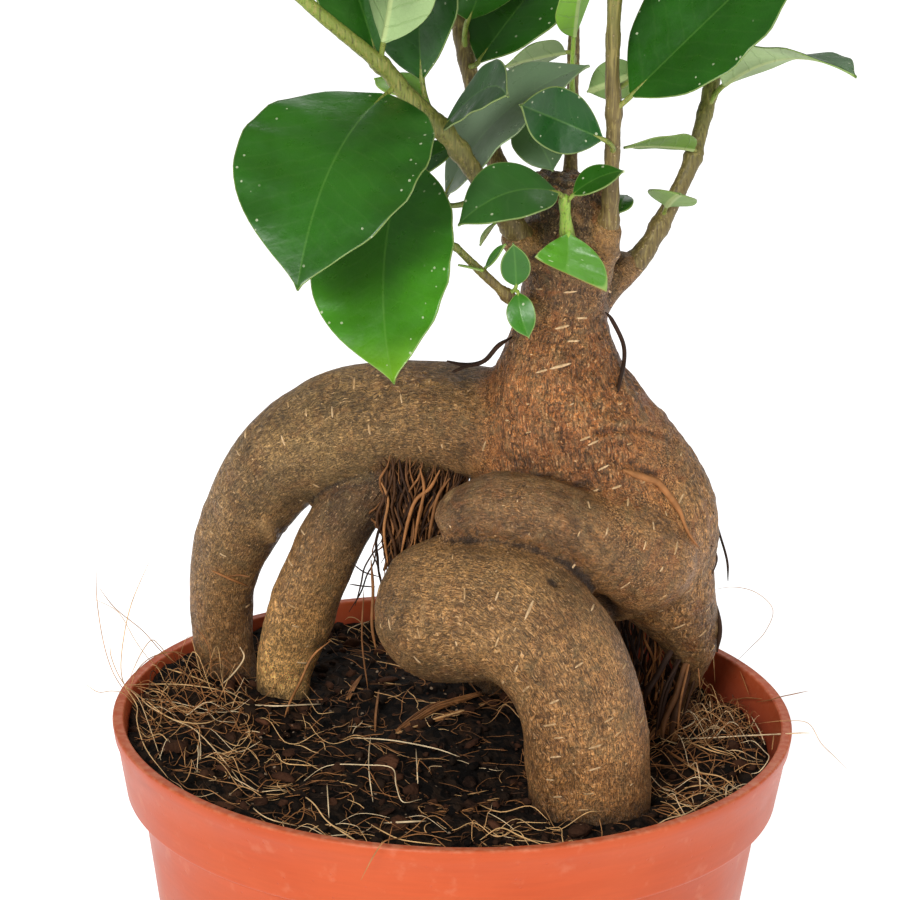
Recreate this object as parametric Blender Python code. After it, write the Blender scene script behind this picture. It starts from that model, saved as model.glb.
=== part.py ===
"""A potted Chinese banyan (Ficus microcarpa, the swollen-root "ginseng" form), built in Blender.

Frame: metres, +Z up, origin at the middle of the pot's flat underside. The side that shows the big
folded root faces -Y. Tables below are in millimetres and become metres through MM.
"""

import math
import random

import bmesh
import bpy
from mathutils import Matrix, Vector

MM = 0.001

# Pot, in millimetres
POT_HEIGHT = 105.0
RIM_RADIUS = 60.0
RIM_WIDTH = 2.0
RIM_STEP = 0.7
RIM_FOOT = 2.8
BAND_HEIGHT = 13.6
BAND_FOOT_RADIUS = 57.6
SHOULDER_RADIUS = 55.1
FOOT_RADIUS = 42.0
WALL = 1.7
FLOOR = 2.2
CORNER = 2.5
POT_SIDES = 46
DRAIN_HOLES = 8
DRAIN_RADIUS = 3.6
DRAIN_CIRCLE = 28.0

# Soil: its top lies a little under the rim, higher on the left
SOIL_LEVEL = 100.2
SOIL_SLOPE = -0.045
SOIL_BUMP = 0.9
FIT_GAP = 0.3
ROOT_HOLE_GAP = 0.75

# Root stock: voxel size, smoothing and the triangle share kept after decimation
BLEND_VOXEL = 1.2
BLEND_STEPS = 9
FINAL_VOXEL = 1.05
FINAL_STEPS = 2
STOCK_TRIANGLES = 4500

# Each route is a list of (x, y, z, radius) along the middle of one root
TRUNK = [
    (25.0, 4.0, 136.0, 14.5),
    (22.2, 3.5, 147.0, 17.8),
    (19.0, 3.0, 158.0, 15.0),
    (17.2, 3.5, 167.0, 11.6),
    (17.2, 4.5, 175.0, 8.6),
    (17.8, 5.0, 182.0, 7.6),
    (18.2, 5.8, 190.0, 8.2),
    (18.3, 6.0, 197.0, 7.0),
    (18.3, 6.0, 203.0, 6.2),
]
LEFT_ROOT = [
    (14.0, 5.0, 155.0, 11.0),
    (0.0, 8.0, 157.2, 9.6),
    (-10.5, 11.0, 156.3, 9.8),
    (-20.6, 15.0, 152.4, 10.3),
    (-31.0, 19.0, 145.3, 9.1),
    (-38.5, 23.5, 132.3, 7.6),
    (-42.2, 26.5, 119.5, 6.1),
    (-42.6, 27.3, 108.0, 5.6),
    (-40.4, 26.2, 97.5, 5.3),
    (-36.6, 25.2, 88.0, 4.2),
]
SECOND_ROOT = [
    (-6.0, 5.0, 150.0, 6.4),
    (-16.5, 6.0, 143.6, 6.0),
    (-21.2, 9.5, 135.5, 6.0),
    (-25.3, 13.0, 125.0, 6.3),
    (-28.4, 16.0, 114.2, 6.1),
    (-30.8, 18.0, 104.0, 5.2),
    (-29.8, 16.4, 94.5, 4.4),
    (-27.4, 14.2, 86.0, 3.4),
]
RIGHT_ROOT = [
    (25.5, 3.0, 152.0, 13.0),
    (32.6, 4.0, 142.0, 13.0),
    (36.0, 6.5, 130.0, 10.2),
    (40.0, 9.5, 121.0, 7.0),
    (42.2, 12.0, 114.0, 4.9),
    (42.0, 14.0, 106.5, 3.4),
    (40.5, 15.5, 97.5, 2.7),
    (38.0, 16.0, 89.0, 2.2),
]
BACK_ROOT = [
    (17.0, 10.0, 148.0, 11.0),
    (14.0, 19.0, 137.0, 8.8),
    (10.0, 26.0, 122.0, 7.4),
    (8.0, 29.0, 108.0, 6.8),
    (7.5, 29.5, 96.0, 6.0),
    (7.5, 28.0, 85.0, 4.4),
]
BACK_RIGHT_ROOT = [
    (28.0, 8.0, 148.0, 10.0),
    (31.0, 19.0, 137.0, 7.8),
    (29.5, 29.0, 122.0, 6.4),
    (26.0, 34.5, 107.0, 5.6),
    (24.5, 34.5, 96.0, 4.8),
    (22.5, 32.5, 86.0, 3.6),
]
FRONT_ROOT = [
    (5.0, -3.0, 129.0, 10.5),
    (-1.5, -11.0, 128.6, 12.4),
    (1.2, -15.0, 130.2, 13.0),
    (8.6, -19.5, 131.8, 12.3),
    (16.2, -23.3, 127.6, 11.2),
    (21.3, -25.0, 118.0, 10.8),
    (23.2, -25.2, 107.0, 10.7),
    (24.0, -25.0, 96.0, 10.2),
    (23.5, -24.0, 86.0, 8.2),
    (22.5, -22.5, 79.0, 5.0),
]
MIDDLE_ROOT = [
    (1.4, -13.4, 146.6, 5.4),
    (7.6, -15.6, 148.8, 6.3),
    (16.0, -16.0, 147.2, 6.8),
    (24.6, -12.5, 141.6, 7.8),
    (32.0, -5.0, 135.8, 8.8),
]
BELLY = [
    (17.0, -9.0, 146.0, 7.4),
    (24.8, -10.4, 142.6, 9.0),
    (32.0, -5.0, 137.0, 10.2),
]
THIN_ROOTS = [
    [(-4.0, 1.0, 146.0, 1.8), (-8.5, -1.5, 134.0, 1.5), (-12.5, 1.0, 120.0, 1.3), (-13.2, 6.0, 96.0, 1.3)],
    [(-2.0, 4.0, 146.0, 1.8), (-5.0, 3.0, 134.0, 1.5), (-8.0, 8.0, 120.0, 1.3), (-9.0, 14.0, 97.0, 1.3)],
    [(40.5, 10.5, 115.0, 2.2), (37.4, 7.0, 106.0, 1.6), (35.4, 5.0, 94.0, 1.3)],
    [(41.5, 12.5, 111.0, 2.0), (37.6, 12.0, 104.0, 1.5), (34.6, 11.5, 93.0, 1.3)],
]
BLENDED_ROOTS = [TRUNK, LEFT_ROOT, SECOND_ROOT, RIGHT_ROOT, BACK_ROOT, BACK_RIGHT_ROOT, BELLY]
PRESSED_ROOTS = [FRONT_ROOT, MIDDLE_ROOT]
# Swellings of the bark round the foot of each stem
COLLARS = [
    [(17.0, 4.5, 184.0, 5.0), (13.4, 2.6, 188.0, 3.9), (9.6, 0.2, 191.8, 3.1)],
    [(17.5, 6.5, 184.0, 5.0), (14.6, 8.6, 189.0, 3.7), (11.6, 10.3, 193.6, 3.0)],
    [(20.0, 4.5, 180.0, 5.0), (22.8, 2.4, 187.0, 3.6), (24.4, 0.6, 193.0, 2.9)],
    [(20.0, 6.0, 177.0, 4.8), (24.4, 7.8, 181.6, 3.6), (28.6, 9.2, 184.8, 2.7)],
    [(17.0, 4.5, 175.0, 4.5), (13.6, 0.4, 178.0, 3.2), (10.6, -2.6, 180.2, 2.2)],
]
BURIED_ROOTS = [LEFT_ROOT, SECOND_ROOT, RIGHT_ROOT, BACK_ROOT, BACK_RIGHT_ROOT, FRONT_ROOT, *THIN_ROOTS]
STUMP_TOP = 201.0

# Each leafy stem as (x, y, z, radius), from the end seated in the trunk to its growing tip
STEMS = {
    "stem_left": [
        (15.2, 3.8, 186.0, 1.8),
        (12.4, 2.2, 189.0, 1.9),
        (8.8, -1.2, 194.0, 1.9),
        (5.0, -4.0, 199.8, 1.75),
        (1.6, -6.2, 205.2, 1.6),
        (-3.2, -8.4, 212.2, 1.5),
        (-10.0, -11.0, 219.5, 1.4),
        (-14.0, -12.5, 224.5, 1.3),
        (-25.2, -17.0, 234.8, 1.1),
        (-34.0, -19.0, 244.0, 1.0),
        (-39.0, -19.5, 254.0, 0.9),
        (-41.5, -19.0, 265.0, 0.7),
    ],
    "stem_back": [
        (15.8, 8.2, 186.8, 1.7),
        (13.2, 9.6, 191.2, 1.8),
        (9.6, 11.2, 196.6, 1.8),
        (5.0, 13.5, 203.0, 1.7),
        (2.2, 16.0, 210.4, 1.5),
        (0.7, 18.0, 216.1, 1.4),
        (-2.1, 21.0, 227.7, 1.3),
        (-4.0, 23.0, 240.0, 1.2),
        (-4.5, 24.5, 254.0, 1.0),
        (-3.0, 25.5, 266.0, 0.9),
        (-1.0, 26.0, 278.0, 0.7),
    ],
    "stem_rear": [
        (18.2, 10.0, 188.0, 1.3),
        (18.2, 13.0, 192.0, 1.4),
        (18.5, 18.5, 200.0, 1.2),
        (18.6, 22.0, 209.0, 1.1),
        (18.6, 24.0, 217.0, 1.0),
        (18.7, 28.5, 226.0, 0.95),
        (18.8, 33.5, 236.0, 0.9),
        (18.6, 36.5, 247.0, 0.8),
        (18.2, 38.5, 257.0, 0.75),
        (18.0, 39.5, 266.0, 0.6),
    ],
    "stem_centre": [
        (21.6, 3.4, 184.6, 1.7),
        (23.8, 1.4, 190.0, 1.8),
        (24.7, 0.0, 195.0, 1.6),
        (24.9, -1.0, 199.6, 1.4),
        (24.9, -2.0, 206.6, 1.25),
        (24.9, -3.0, 215.4, 1.25),
        (24.4, -3.5, 222.3, 1.2),
        (24.4, -4.0, 234.3, 1.15),
        (24.8, -5.0, 248.0, 1.0),
        (26.0, -5.0, 262.0, 0.9),
        (27.5, -4.0, 276.0, 0.8),
        (28.0, -3.0, 288.0, 0.6),
    ],
    "stem_right": [
        (23.0, 7.3, 180.6, 1.7),
        (26.6, 8.6, 183.4, 1.8),
        (31.0, 10.0, 186.8, 1.7),
        (35.0, 12.0, 193.5, 1.5),
        (39.1, 15.0, 201.7, 1.4),
        (41.2, 18.0, 209.0, 1.3),
        (42.6, 20.0, 214.8, 1.3),
        (44.1, 22.0, 222.3, 1.2),
        (45.4, 24.0, 233.0, 1.1),
        (45.8, 25.0, 246.0, 0.9),
        (45.0, 25.5, 259.0, 0.8),
        (44.0, 26.0, 270.0, 0.6),
    ],
    "shoot_front": [
        (18.3, 1.4, 188.4, 0.9),
        (18.1, -1.4, 190.2, 1.0),
        (17.7, -4.4, 193.4, 0.95),
        (17.3, -6.4, 197.0, 0.9),
        (16.9, -8.2, 201.2, 0.8),
    ],
    "twig_left": [
        (14.0, 0.8, 177.6, 0.9),
        (11.0, -2.2, 179.8, 0.95),
        (8.8, -5.6, 182.6, 0.85),
        (6.0, -8.6, 185.9, 0.8),
        (2.7, -11.0, 189.6, 0.7),
        (-0.6, -13.0, 193.4, 0.65),
    ],
}
STEM_SIDES_LEVEL = 1
SEAT_POINTS = 4
SEAT_GAP = 0.5

# Each leaf seen from the front: stem, drop from the blade's base to where its stalk joins, base, tip,
# half width, roll in degrees, arch and sideways bow as shares of the length; a torn blade also gives
# the shares where its two edges end
LEAVES = [
    ("stem_left", 0.0, (-13.2, -13.5, 219.6), (-26.1, -45.0, 194.9), 16.3, -5, 0.12, 0.03),
    ("stem_left", 0.0, (-9.8, -9.0, 207.6), (-10.7, -35.0, 176.6), 12.9, 19, 0.02, 0.06),
    ("stem_left", 1.0, (-15.0, -10.0, 225.4), (-28.0, -4.0, 256.0), 10.3, -20, 0.04, 0.0),
    ("stem_left", 3.0, (-13.6, -13.5, 228.6), (-14.6, -25.0, 259.0), 9.5, -41, 0.10, 0.01),
    ("stem_left", 8.0, (-7.3, -5.0, 220.7), (-9.0, 9.0, 253.0), 11.2, -50, 0.03, 0.02),
    ("stem_left", 0.0, (-7.0, -6.0, 217.6), (-15.4, 1.0, 219.0), 3.5, -16, 0.05, 0.0),
    ("stem_left", 1.5, (-3.6, -9.4, 213.2), (6.8, -27.0, 223.0), 5.5, 53, 0.0, -0.2),
    ("stem_left", 0.0, (-2.8, 2.5, 199.0), (20.8, 3.0, 221.6), 10.6, 17, 0.10, -0.04),
    ("stem_left", 0.0, (-1.8, -3.6, 208.8), (-9.4, -3.6, 203.2), 3.4, -30, 0.07, 0.0),
    ("stem_left", 0.0, (5.4, 0.6, 194.4), (3.0, 1.5, 190.2), 0.9, 20, 0.05, 0.0),
    ("stem_back", 2.0, (10.0, 10.2, 210.2), (15.2, 5.6, 202.4), 4.9, 29, 0.10, 0.0),
    ("stem_back", 0.0, (2.2, 16.0, 219.0), (20.4, 32.0, 239.4), 9.4, 15, 0.04, 0.01),
    ("stem_back", 5.0, (0.2, 16.0, 226.4), (5.5, 8.0, 248.0), 7.4, 170, 0.05, 0.0),
    ("stem_rear", 1.0, (17.0, 20.4, 219.9), (6.6, 14.8, 218.4), 4.7, 43, 0.03, 0.01),
    ("stem_rear", 12.0, (18.4, 17.0, 223.6), (19.8, 7.5, 239.4), 5.2, 45, 0.03, -0.02),
    ("stem_centre", 3.5, (23.0, -6.2, 211.2), (9.0, -15.0, 218.8), 5.5, -80, -0.14, 0.03),
    ("stem_centre", 3.5, (27.8, -4.4, 218.4), (56.4, -1.0, 247.2), 12.8, 34, 0.03, 0.02),
    ("stem_centre", 0.0, (29.4, 6.0, 220.2), (20.6, 7.6, 216.0), 3.9, 75, 0.02, 0.02),
    ("stem_centre", 0.0, (26.4, 1.8, 196.4), (28.0, 6.6, 198.2), 2.0, 10, 0.09, -0.02),
    ("stem_right", 6.0, (44.6, 17.0, 215.6), (65.0, -5.0, 222.4), 8.8, -12, 0.13, 0.0),
    ("stem_right", 1.5, (39.4, 14.0, 204.8), (27.0, 2.0, 207.8), 5.4, 23, 0.03, 0.01),
    ("stem_right", 3.5, (35.0, 8.8, 196.0), (36.6, -1.4, 200.8), 4.4, -16, 0.0, 0.02),
    ("shoot_front", 2.0, (15.6, -9.4, 202.6), (-0.8, -17.0, 198.6), 6.1, -35, 0.15, 0.06),
    ("shoot_front", 2.5, (18.4, -9.0, 202.2), (26.8, -8.0, 206.2), 3.2, 24, 0.09, -0.01),
    ("shoot_front", 0.0, (17.8, -6.8, 194.8), (17.6, -8.5, 176.8), 7.0, 0, 0.04, 0.0, (0.22, 0.52)),
    ("twig_left", 0.5, (9.2, -8.0, 186.0), (8.5, -9.6, 193.8), 2.6, 4, 0.03, 0.01),
    ("twig_left", 0.0, (9.6, -8.0, 184.6), (11.6, -10.8, 177.6), 2.5, 40, 0.09, 0.04),
    ("twig_left", 0.0, (4.0, -8.0, 189.0), (7.2, -9.5, 193.6), 1.3, 38, 0.0, 0.0),
    ("twig_left", 0.0, (3.2, -12.4, 189.8), (-0.6, -14.6, 191.2), 0.6, 0, 0.0, 0.0),
]

# Leaves that the rule adds: stem, share of the stem where they start, how many, and their lengths
CROWN = [
    ("stem_left", 0.74, 5, 37.0),
    ("stem_back", 0.62, 6, 38.0),
    ("stem_rear", 0.62, 5, 36.0),
    ("stem_centre", 0.64, 7, 38.0),
    ("stem_right", 0.72, 6, 37.0),
]
CROWN_SEED = 12
CLEARANCE = 3.0
# The added leaves stay over a level that falls towards the back
CROWN_LEVEL = 235.0
CROWN_FALL = -0.209

# Share of the half width at each share of the blade's length, and the stations where the source cuts it
BLADE_SHARES = [0.0, 0.04, 0.10, 0.20, 0.32, 0.45, 0.60, 0.74, 0.84, 0.91, 0.96, 1.0]
BLADE_WIDTHS = [0.05, 0.26, 0.52, 0.80, 0.96, 1.00, 0.93, 0.70, 0.43, 0.22, 0.10, 0.0]
BLADE_STATIONS = [0.0, 0.07, 0.22, 0.45, 0.68, 0.86, 1.0]
BLADE_THICKNESS = 0.65
BLADE_FOLD = math.radians(8.0)
STALK_RADIUS = 0.55
TIP_HALF_WIDTH = 0.4


def remove_startup_objects():
    for obj in list(bpy.data.objects):
        bpy.data.objects.remove(obj)


def material(name, colour, roughness, metallic=0.0):
    made = bpy.data.materials.new(name)
    made.use_nodes = True
    shader = made.node_tree.nodes["Principled BSDF"]
    shader.inputs["Base Color"].default_value = (*colour, 1.0)
    shader.inputs["Roughness"].default_value = roughness
    shader.inputs["Metallic"].default_value = metallic
    return made


def new_object(name, mesh):
    obj = bpy.data.objects.new(name, mesh)
    bpy.context.scene.collection.objects.link(obj)
    return obj


def evaluated_mesh(obj):
    """The object's mesh with its modifiers applied."""
    bpy.context.view_layer.update()
    graph = bpy.context.evaluated_depsgraph_get()
    return bpy.data.meshes.new_from_object(obj.evaluated_get(graph))


def apply_modifiers(obj):
    applied = evaluated_mesh(obj)
    obj.modifiers.clear()
    obj.data = applied
    return obj


def mesh_from(name, build):
    """A mesh object whose faces are made by build(bm) in millimetres and point outwards."""
    bm = bmesh.new()
    build(bm)
    bmesh.ops.remove_doubles(bm, verts=bm.verts, dist=2e-3)
    bmesh.ops.recalc_face_normals(bm, faces=bm.faces)
    bmesh.ops.scale(bm, vec=Vector((MM, MM, MM)), verts=bm.verts)
    mesh = bpy.data.meshes.new(name)
    bm.to_mesh(mesh)
    bm.free()
    return new_object(name, mesh)


def shade(obj, finish, sharp_degrees=35.0):
    obj.data.materials.clear()
    obj.data.materials.append(finish)
    obj.data.shade_smooth()
    obj.data.set_sharp_from_angle(angle=math.radians(sharp_degrees))
    return obj


def joined(name, objects):
    """One mesh object that holds the bodies of several, which are removed."""
    bm = bmesh.new()
    for obj in objects:
        obj.data.transform(obj.matrix_world)
        bm.from_mesh(obj.data)
        bpy.data.objects.remove(obj)
    mesh = bpy.data.meshes.new(name)
    bm.to_mesh(mesh)
    bm.free()
    return new_object(name, mesh)


def boolean(obj, others, operation, solver="EXACT"):
    """Joins or cuts obj by each of the others, in one modifier, and removes them."""
    group = bpy.data.collections.new(obj.name + "_operands")
    bpy.context.scene.collection.children.link(group)
    for other in others:
        bpy.context.scene.collection.objects.unlink(other)
        group.objects.link(other)
    modifier = obj.modifiers.new("Boolean", "BOOLEAN")
    modifier.operation = operation
    modifier.operand_type = "COLLECTION"
    modifier.collection = group
    modifier.solver = solver
    apply_modifiers(obj)
    for other in others:
        bpy.data.objects.remove(other)
    bpy.data.collections.remove(group)
    return obj


def smooth_route(route, steps):
    """The route with in-between points on a smooth curve through its points, radius included."""
    points = [Vector(point) for point in route]
    ends = [2 * points[0] - points[1], *points, 2 * points[-1] - points[-2]]
    smooth = []
    for before, here, there, after in zip(ends, ends[1:], ends[2:], ends[3:]):
        for step in range(steps):
            t = step / steps
            linear = 0.5 * t * (there - before)
            square = t * t * (before - 2.5 * here + 2.0 * there - 0.5 * after)
            cube = t * t * t * (1.5 * (here - there) + 0.5 * (after - before))
            smooth.append(here + linear + square + cube)
    smooth.append(points[-1])
    return smooth


def tube(name, route, bevel_resolution=3, steps=5, grow=0.0):
    """A smooth tube of varying radius through a route of (x, y, z, radius), with closed ends."""
    curve = bpy.data.curves.new(name, "CURVE")
    curve.dimensions = "3D"
    curve.bevel_depth = MM
    curve.bevel_resolution = bevel_resolution
    curve.use_fill_caps = True
    smooth = smooth_route(route, steps)
    spline = curve.splines.new("POLY")
    spline.points.add(len(smooth) - 1)
    for point, (x, y, z, radius) in zip(spline.points, smooth):
        point.co = (x * MM, y * MM, z * MM, 1.0)
        point.radius = radius + grow
    path = new_object(name, curve)
    mesh = evaluated_mesh(path)
    bpy.data.objects.remove(path)
    bm = bmesh.new()
    bm.from_mesh(mesh)
    bmesh.ops.remove_doubles(bm, verts=bm.verts, dist=1e-7)
    bmesh.ops.recalc_face_normals(bm, faces=bm.faces)
    bm.to_mesh(mesh)
    bm.free()
    return new_object(name, mesh)


def ball(name, centre, radius):
    def build(bm):
        bmesh.ops.create_icosphere(bm, subdivisions=3, radius=radius, matrix=Matrix.Translation(centre))

    return mesh_from(name, build)


def turned(name, profile, sides):
    """A closed body of revolution from a profile of (radius, z) that starts and ends on the axis."""

    def build(bm):
        points = [bm.verts.new((radius, 0.0, z)) for radius, z in profile]
        edges = [bm.edges.new(pair) for pair in zip(points, points[1:])]
        bmesh.ops.spin(
            bm,
            geom=points + edges,
            cent=(0, 0, 0),
            axis=(0, 0, 1),
            angle=math.tau,
            steps=sides,
            use_duplicate=False,
        )

    return mesh_from(name, build)


def arc(centre_r, centre_z, radius, start, end, steps):
    """Points of (radius, z) round a fillet, between two angles in degrees."""
    angles = [math.radians(start + (end - start) * i / steps) for i in range(steps + 1)]
    return [(centre_r + radius * math.cos(a), centre_z + radius * math.sin(a)) for a in angles]


def inner_wall(gap=0.0):
    """The pot's inside from the floor's corner up to the rim, as (radius, z), moved in by gap."""
    shoulder = POT_HEIGHT - BAND_HEIGHT
    corners = [
        (FOOT_RADIUS - WALL - CORNER, FLOOR),
        (FOOT_RADIUS - WALL, FLOOR + CORNER),
        (SHOULDER_RADIUS - WALL, shoulder + 0.6 * WALL),
        (BAND_FOOT_RADIUS - WALL, shoulder + 1.6 * WALL),
        (RIM_RADIUS - RIM_WIDTH, POT_HEIGHT - RIM_WIDTH / 2),
    ]
    return [(radius - gap, height + gap) for radius, height in corners]


def pot():
    shoulder = POT_HEIGHT - BAND_HEIGHT
    lip = RIM_WIDTH / 2
    profile = [(0.0, 0.0)]
    profile += arc(FOOT_RADIUS - CORNER, CORNER, CORNER, -90, -8, 2)
    profile += [(SHOULDER_RADIUS, shoulder)]
    profile += arc(BAND_FOOT_RADIUS - 0.8, shoulder + 0.8, 0.8, -90, 0, 2)
    profile += [(RIM_RADIUS - RIM_STEP, POT_HEIGHT - RIM_FOOT)]
    profile += arc(RIM_RADIUS - lip, POT_HEIGHT - lip, lip, 0, 180, 4)
    profile += inner_wall()[-2::-1]
    profile += [(0.0, FLOOR)]
    body = turned("pot", profile, POT_SIDES)
    holes = []
    for i in range(DRAIN_HOLES):
        turn = math.tau * (i + 0.5) / DRAIN_HOLES
        middle = Vector((DRAIN_CIRCLE * math.cos(turn), DRAIN_CIRCLE * math.sin(turn), FLOOR / 2))

        def build(bm, place=Matrix.Translation(middle)):
            bmesh.ops.create_cone(
                bm,
                cap_ends=True,
                segments=12,
                radius1=DRAIN_RADIUS,
                radius2=DRAIN_RADIUS,
                depth=3 * FLOOR,
                matrix=place,
            )

        holes.append(mesh_from(f"drain_{i}", build))
    boolean(body, holes, "DIFFERENCE")
    return shade(body, material("pot_plastic", (0.80, 0.19, 0.08), 0.38))


def soil_top(x, y):
    """Height of the soil's surface: a gentle slope with low mounds."""
    mounds = math.sin(0.16 * x + 0.9) * math.cos(0.13 * y) + 0.6 * math.sin(0.31 * y - 0.22 * x)
    return SOIL_LEVEL + SOIL_SLOPE * x + SOIL_BUMP * mounds


def soil():
    """Potting mix that fills the pot, with a plain hole round each root that goes down into it."""
    side = inner_wall(FIT_GAP)
    shares = (1.0, 0.86, 0.66, 0.42, 0.2)
    (low_radius, low), (high_radius, high) = side[-2:]

    def ring(bm, share, height):
        made = []
        for i in range(POT_SIDES):
            turn = math.tau * i / POT_SIDES
            across = (math.cos(turn), math.sin(turn))
            if height is not None:
                made.append(bm.verts.new((share * across[0], share * across[1], height)))
                continue
            edge = soil_top(high_radius * across[0], high_radius * across[1])
            radius = share * (low_radius + (high_radius - low_radius) * (edge - low) / (high - low))
            x, y = radius * across[0], radius * across[1]
            made.append(bm.verts.new((x, y, soil_top(x, y))))
        return made

    def build(bm):
        rings = [ring(bm, radius, z) for radius, z in side[:-1]]
        rings += [ring(bm, share, None) for share in shares]
        for low, high in zip(rings, rings[1:]):
            for i in range(POT_SIDES):
                j = (i + 1) % POT_SIDES
                bm.faces.new((low[i], low[j], high[j], high[i]))
        bm.faces.new(list(reversed(rings[0])))
        middle = bm.verts.new((0.0, 0.0, soil_top(0.0, 0.0)))
        last = rings[-1]
        for i in range(POT_SIDES):
            bm.faces.new((last[i], last[(i + 1) % POT_SIDES], middle))

    body = mesh_from("soil", build)
    holes = []
    for number, route in enumerate(BURIED_ROOTS):
        last, before = Vector(route[-1]), Vector(route[-2])
        heading = (last - before).to_3d().normalized()
        below = last.to_3d() + heading * (last.w + 0.6)
        longer = [*route, (*below, 0.55 * last.w)]
        holes.append(tube(f"hole_{number}", longer, 3 if last.w > 2 else 1, 3, ROOT_HOLE_GAP))
    boolean(body, holes, "DIFFERENCE", "MANIFOLD")
    return shade(body, material("potting_mix", (0.035, 0.022, 0.014), 0.95))


def fused(name, objects, voxel, smooth_steps):
    """Several overlapping bodies made one skin, with the creases between them smoothed."""
    body = joined(name, objects)
    remesh = body.modifiers.new("Fuse", "REMESH")
    remesh.mode = "VOXEL"
    remesh.voxel_size = voxel * MM
    smooth = body.modifiers.new("Soften", "SMOOTH")
    smooth.factor = 0.5
    smooth.iterations = smooth_steps
    return apply_modifiers(body)


def root_bodies(name, route):
    """The tube along one root and round ends for it."""
    ends = [ball(f"{name}_end{i}", Vector(point[:3]), 0.97 * point[3]) for i, point in enumerate((route[0], route[-1]))]
    return [tube(name, route, 6, 6), *ends]


def stump_cutter():
    """A block over the sawn top of the trunk, leaning a little."""

    def build(bm):
        place = Matrix.Translation((18.3, 6.0, STUMP_TOP + 8.0)) @ Matrix.Rotation(math.radians(7), 4, "Y")
        bmesh.ops.create_cube(bm, size=16.0, matrix=place)

    return mesh_from("stump_cutter", build)


def root_stock():
    """The swollen roots and trunk, grown as one piece: blended limbs and two that press against them."""
    limbs = []
    for number, route in enumerate(BLENDED_ROOTS):
        limbs += root_bodies(f"limb_{number}", route)
    groups = [fused("limbs", limbs, BLEND_VOXEL, BLEND_STEPS)]
    for number, route in enumerate(PRESSED_ROOTS):
        groups.append(fused(f"pressed_{number}", root_bodies(f"fold_{number}", route), BLEND_VOXEL, BLEND_STEPS))
    for number, route in enumerate(COLLARS):
        groups += root_bodies(f"collar_{number}", route)
    for number, route in enumerate(THIN_ROOTS):
        groups.append(tube(f"thin_{number}", route, 2, 4))
    body = fused("root_stock", groups, FINAL_VOXEL, FINAL_STEPS)
    decimate = body.modifiers.new("Decimate", "DECIMATE")
    decimate.ratio = STOCK_TRIANGLES / (2 * len(body.data.polygons))
    apply_modifiers(body)
    cutters = [stump_cutter()]
    for name, route in STEMS.items():
        start, after = Vector(route[0]), Vector(route[1])
        deeper = start - 0.5 * (after - start).normalized()
        cutters.append(tube(f"seat_{name}", [deeper, *route[1:SEAT_POINTS]], 2, 2, SEAT_GAP))
    boolean(body, cutters, "DIFFERENCE", "MANIFOLD")
    return shade(body, material("bark", (0.20, 0.12, 0.06), 0.8), 60.0)


def nearest_on(route, place):
    """The point on a smooth route nearest to a place."""
    points = [point.to_3d() for point in smooth_route(route, 6)]
    return min(points, key=lambda point: (point - place).length)


def blade_frame(base, tip, roll):
    """Unit vectors along a blade, out of its upper side, and across it."""
    along = (tip - base).normalized()
    upright = Vector((0, 0, 1)) if abs(along.z) < 0.97 else Vector((0, -1, 0))
    up = (upright - along * upright.dot(along)).normalized()
    across = along.cross(up)
    turn = math.radians(roll)
    up = up * math.cos(turn) + across * math.sin(turn)
    return along, up, along.cross(up)


def blade_point(leaf, t, u):
    """A place on the middle surface of a blade: t runs from base to tip, u from edge to edge."""
    _, _, base, tip, half_width, roll, arch, bow = leaf[:8]
    base, tip = Vector(base), Vector(tip)
    left, right = leaf[8] if len(leaf) > 8 else (1.0, 1.0)
    t *= (right + left + u * (left - right)) / 2
    along, up, across = blade_frame(base, tip, roll)
    length = (tip - base).length
    hump = 4 * t * (1 - t) * length
    middle = base.lerp(tip, t) + up * (arch * hump) + across * (bow * hump)
    tilted = (up - along * (4 * arch * (1 - 2 * t))).normalized()
    reach = max(half_width * share_at(t), TIP_HALF_WIDTH)
    rise = abs(u) * reach * math.sin(BLADE_FOLD)
    return middle + across * (u * reach * math.cos(BLADE_FOLD)) + tilted * rise, tilted


def share_at(t):
    """Half width at a share of the blade's length, as a share of the widest."""
    for low, high, narrow, wide in zip(BLADE_SHARES, BLADE_SHARES[1:], BLADE_WIDTHS, BLADE_WIDTHS[1:]):
        if t <= high:
            return narrow + (wide - narrow) * (t - low) / (high - low)
    return 0.0


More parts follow.
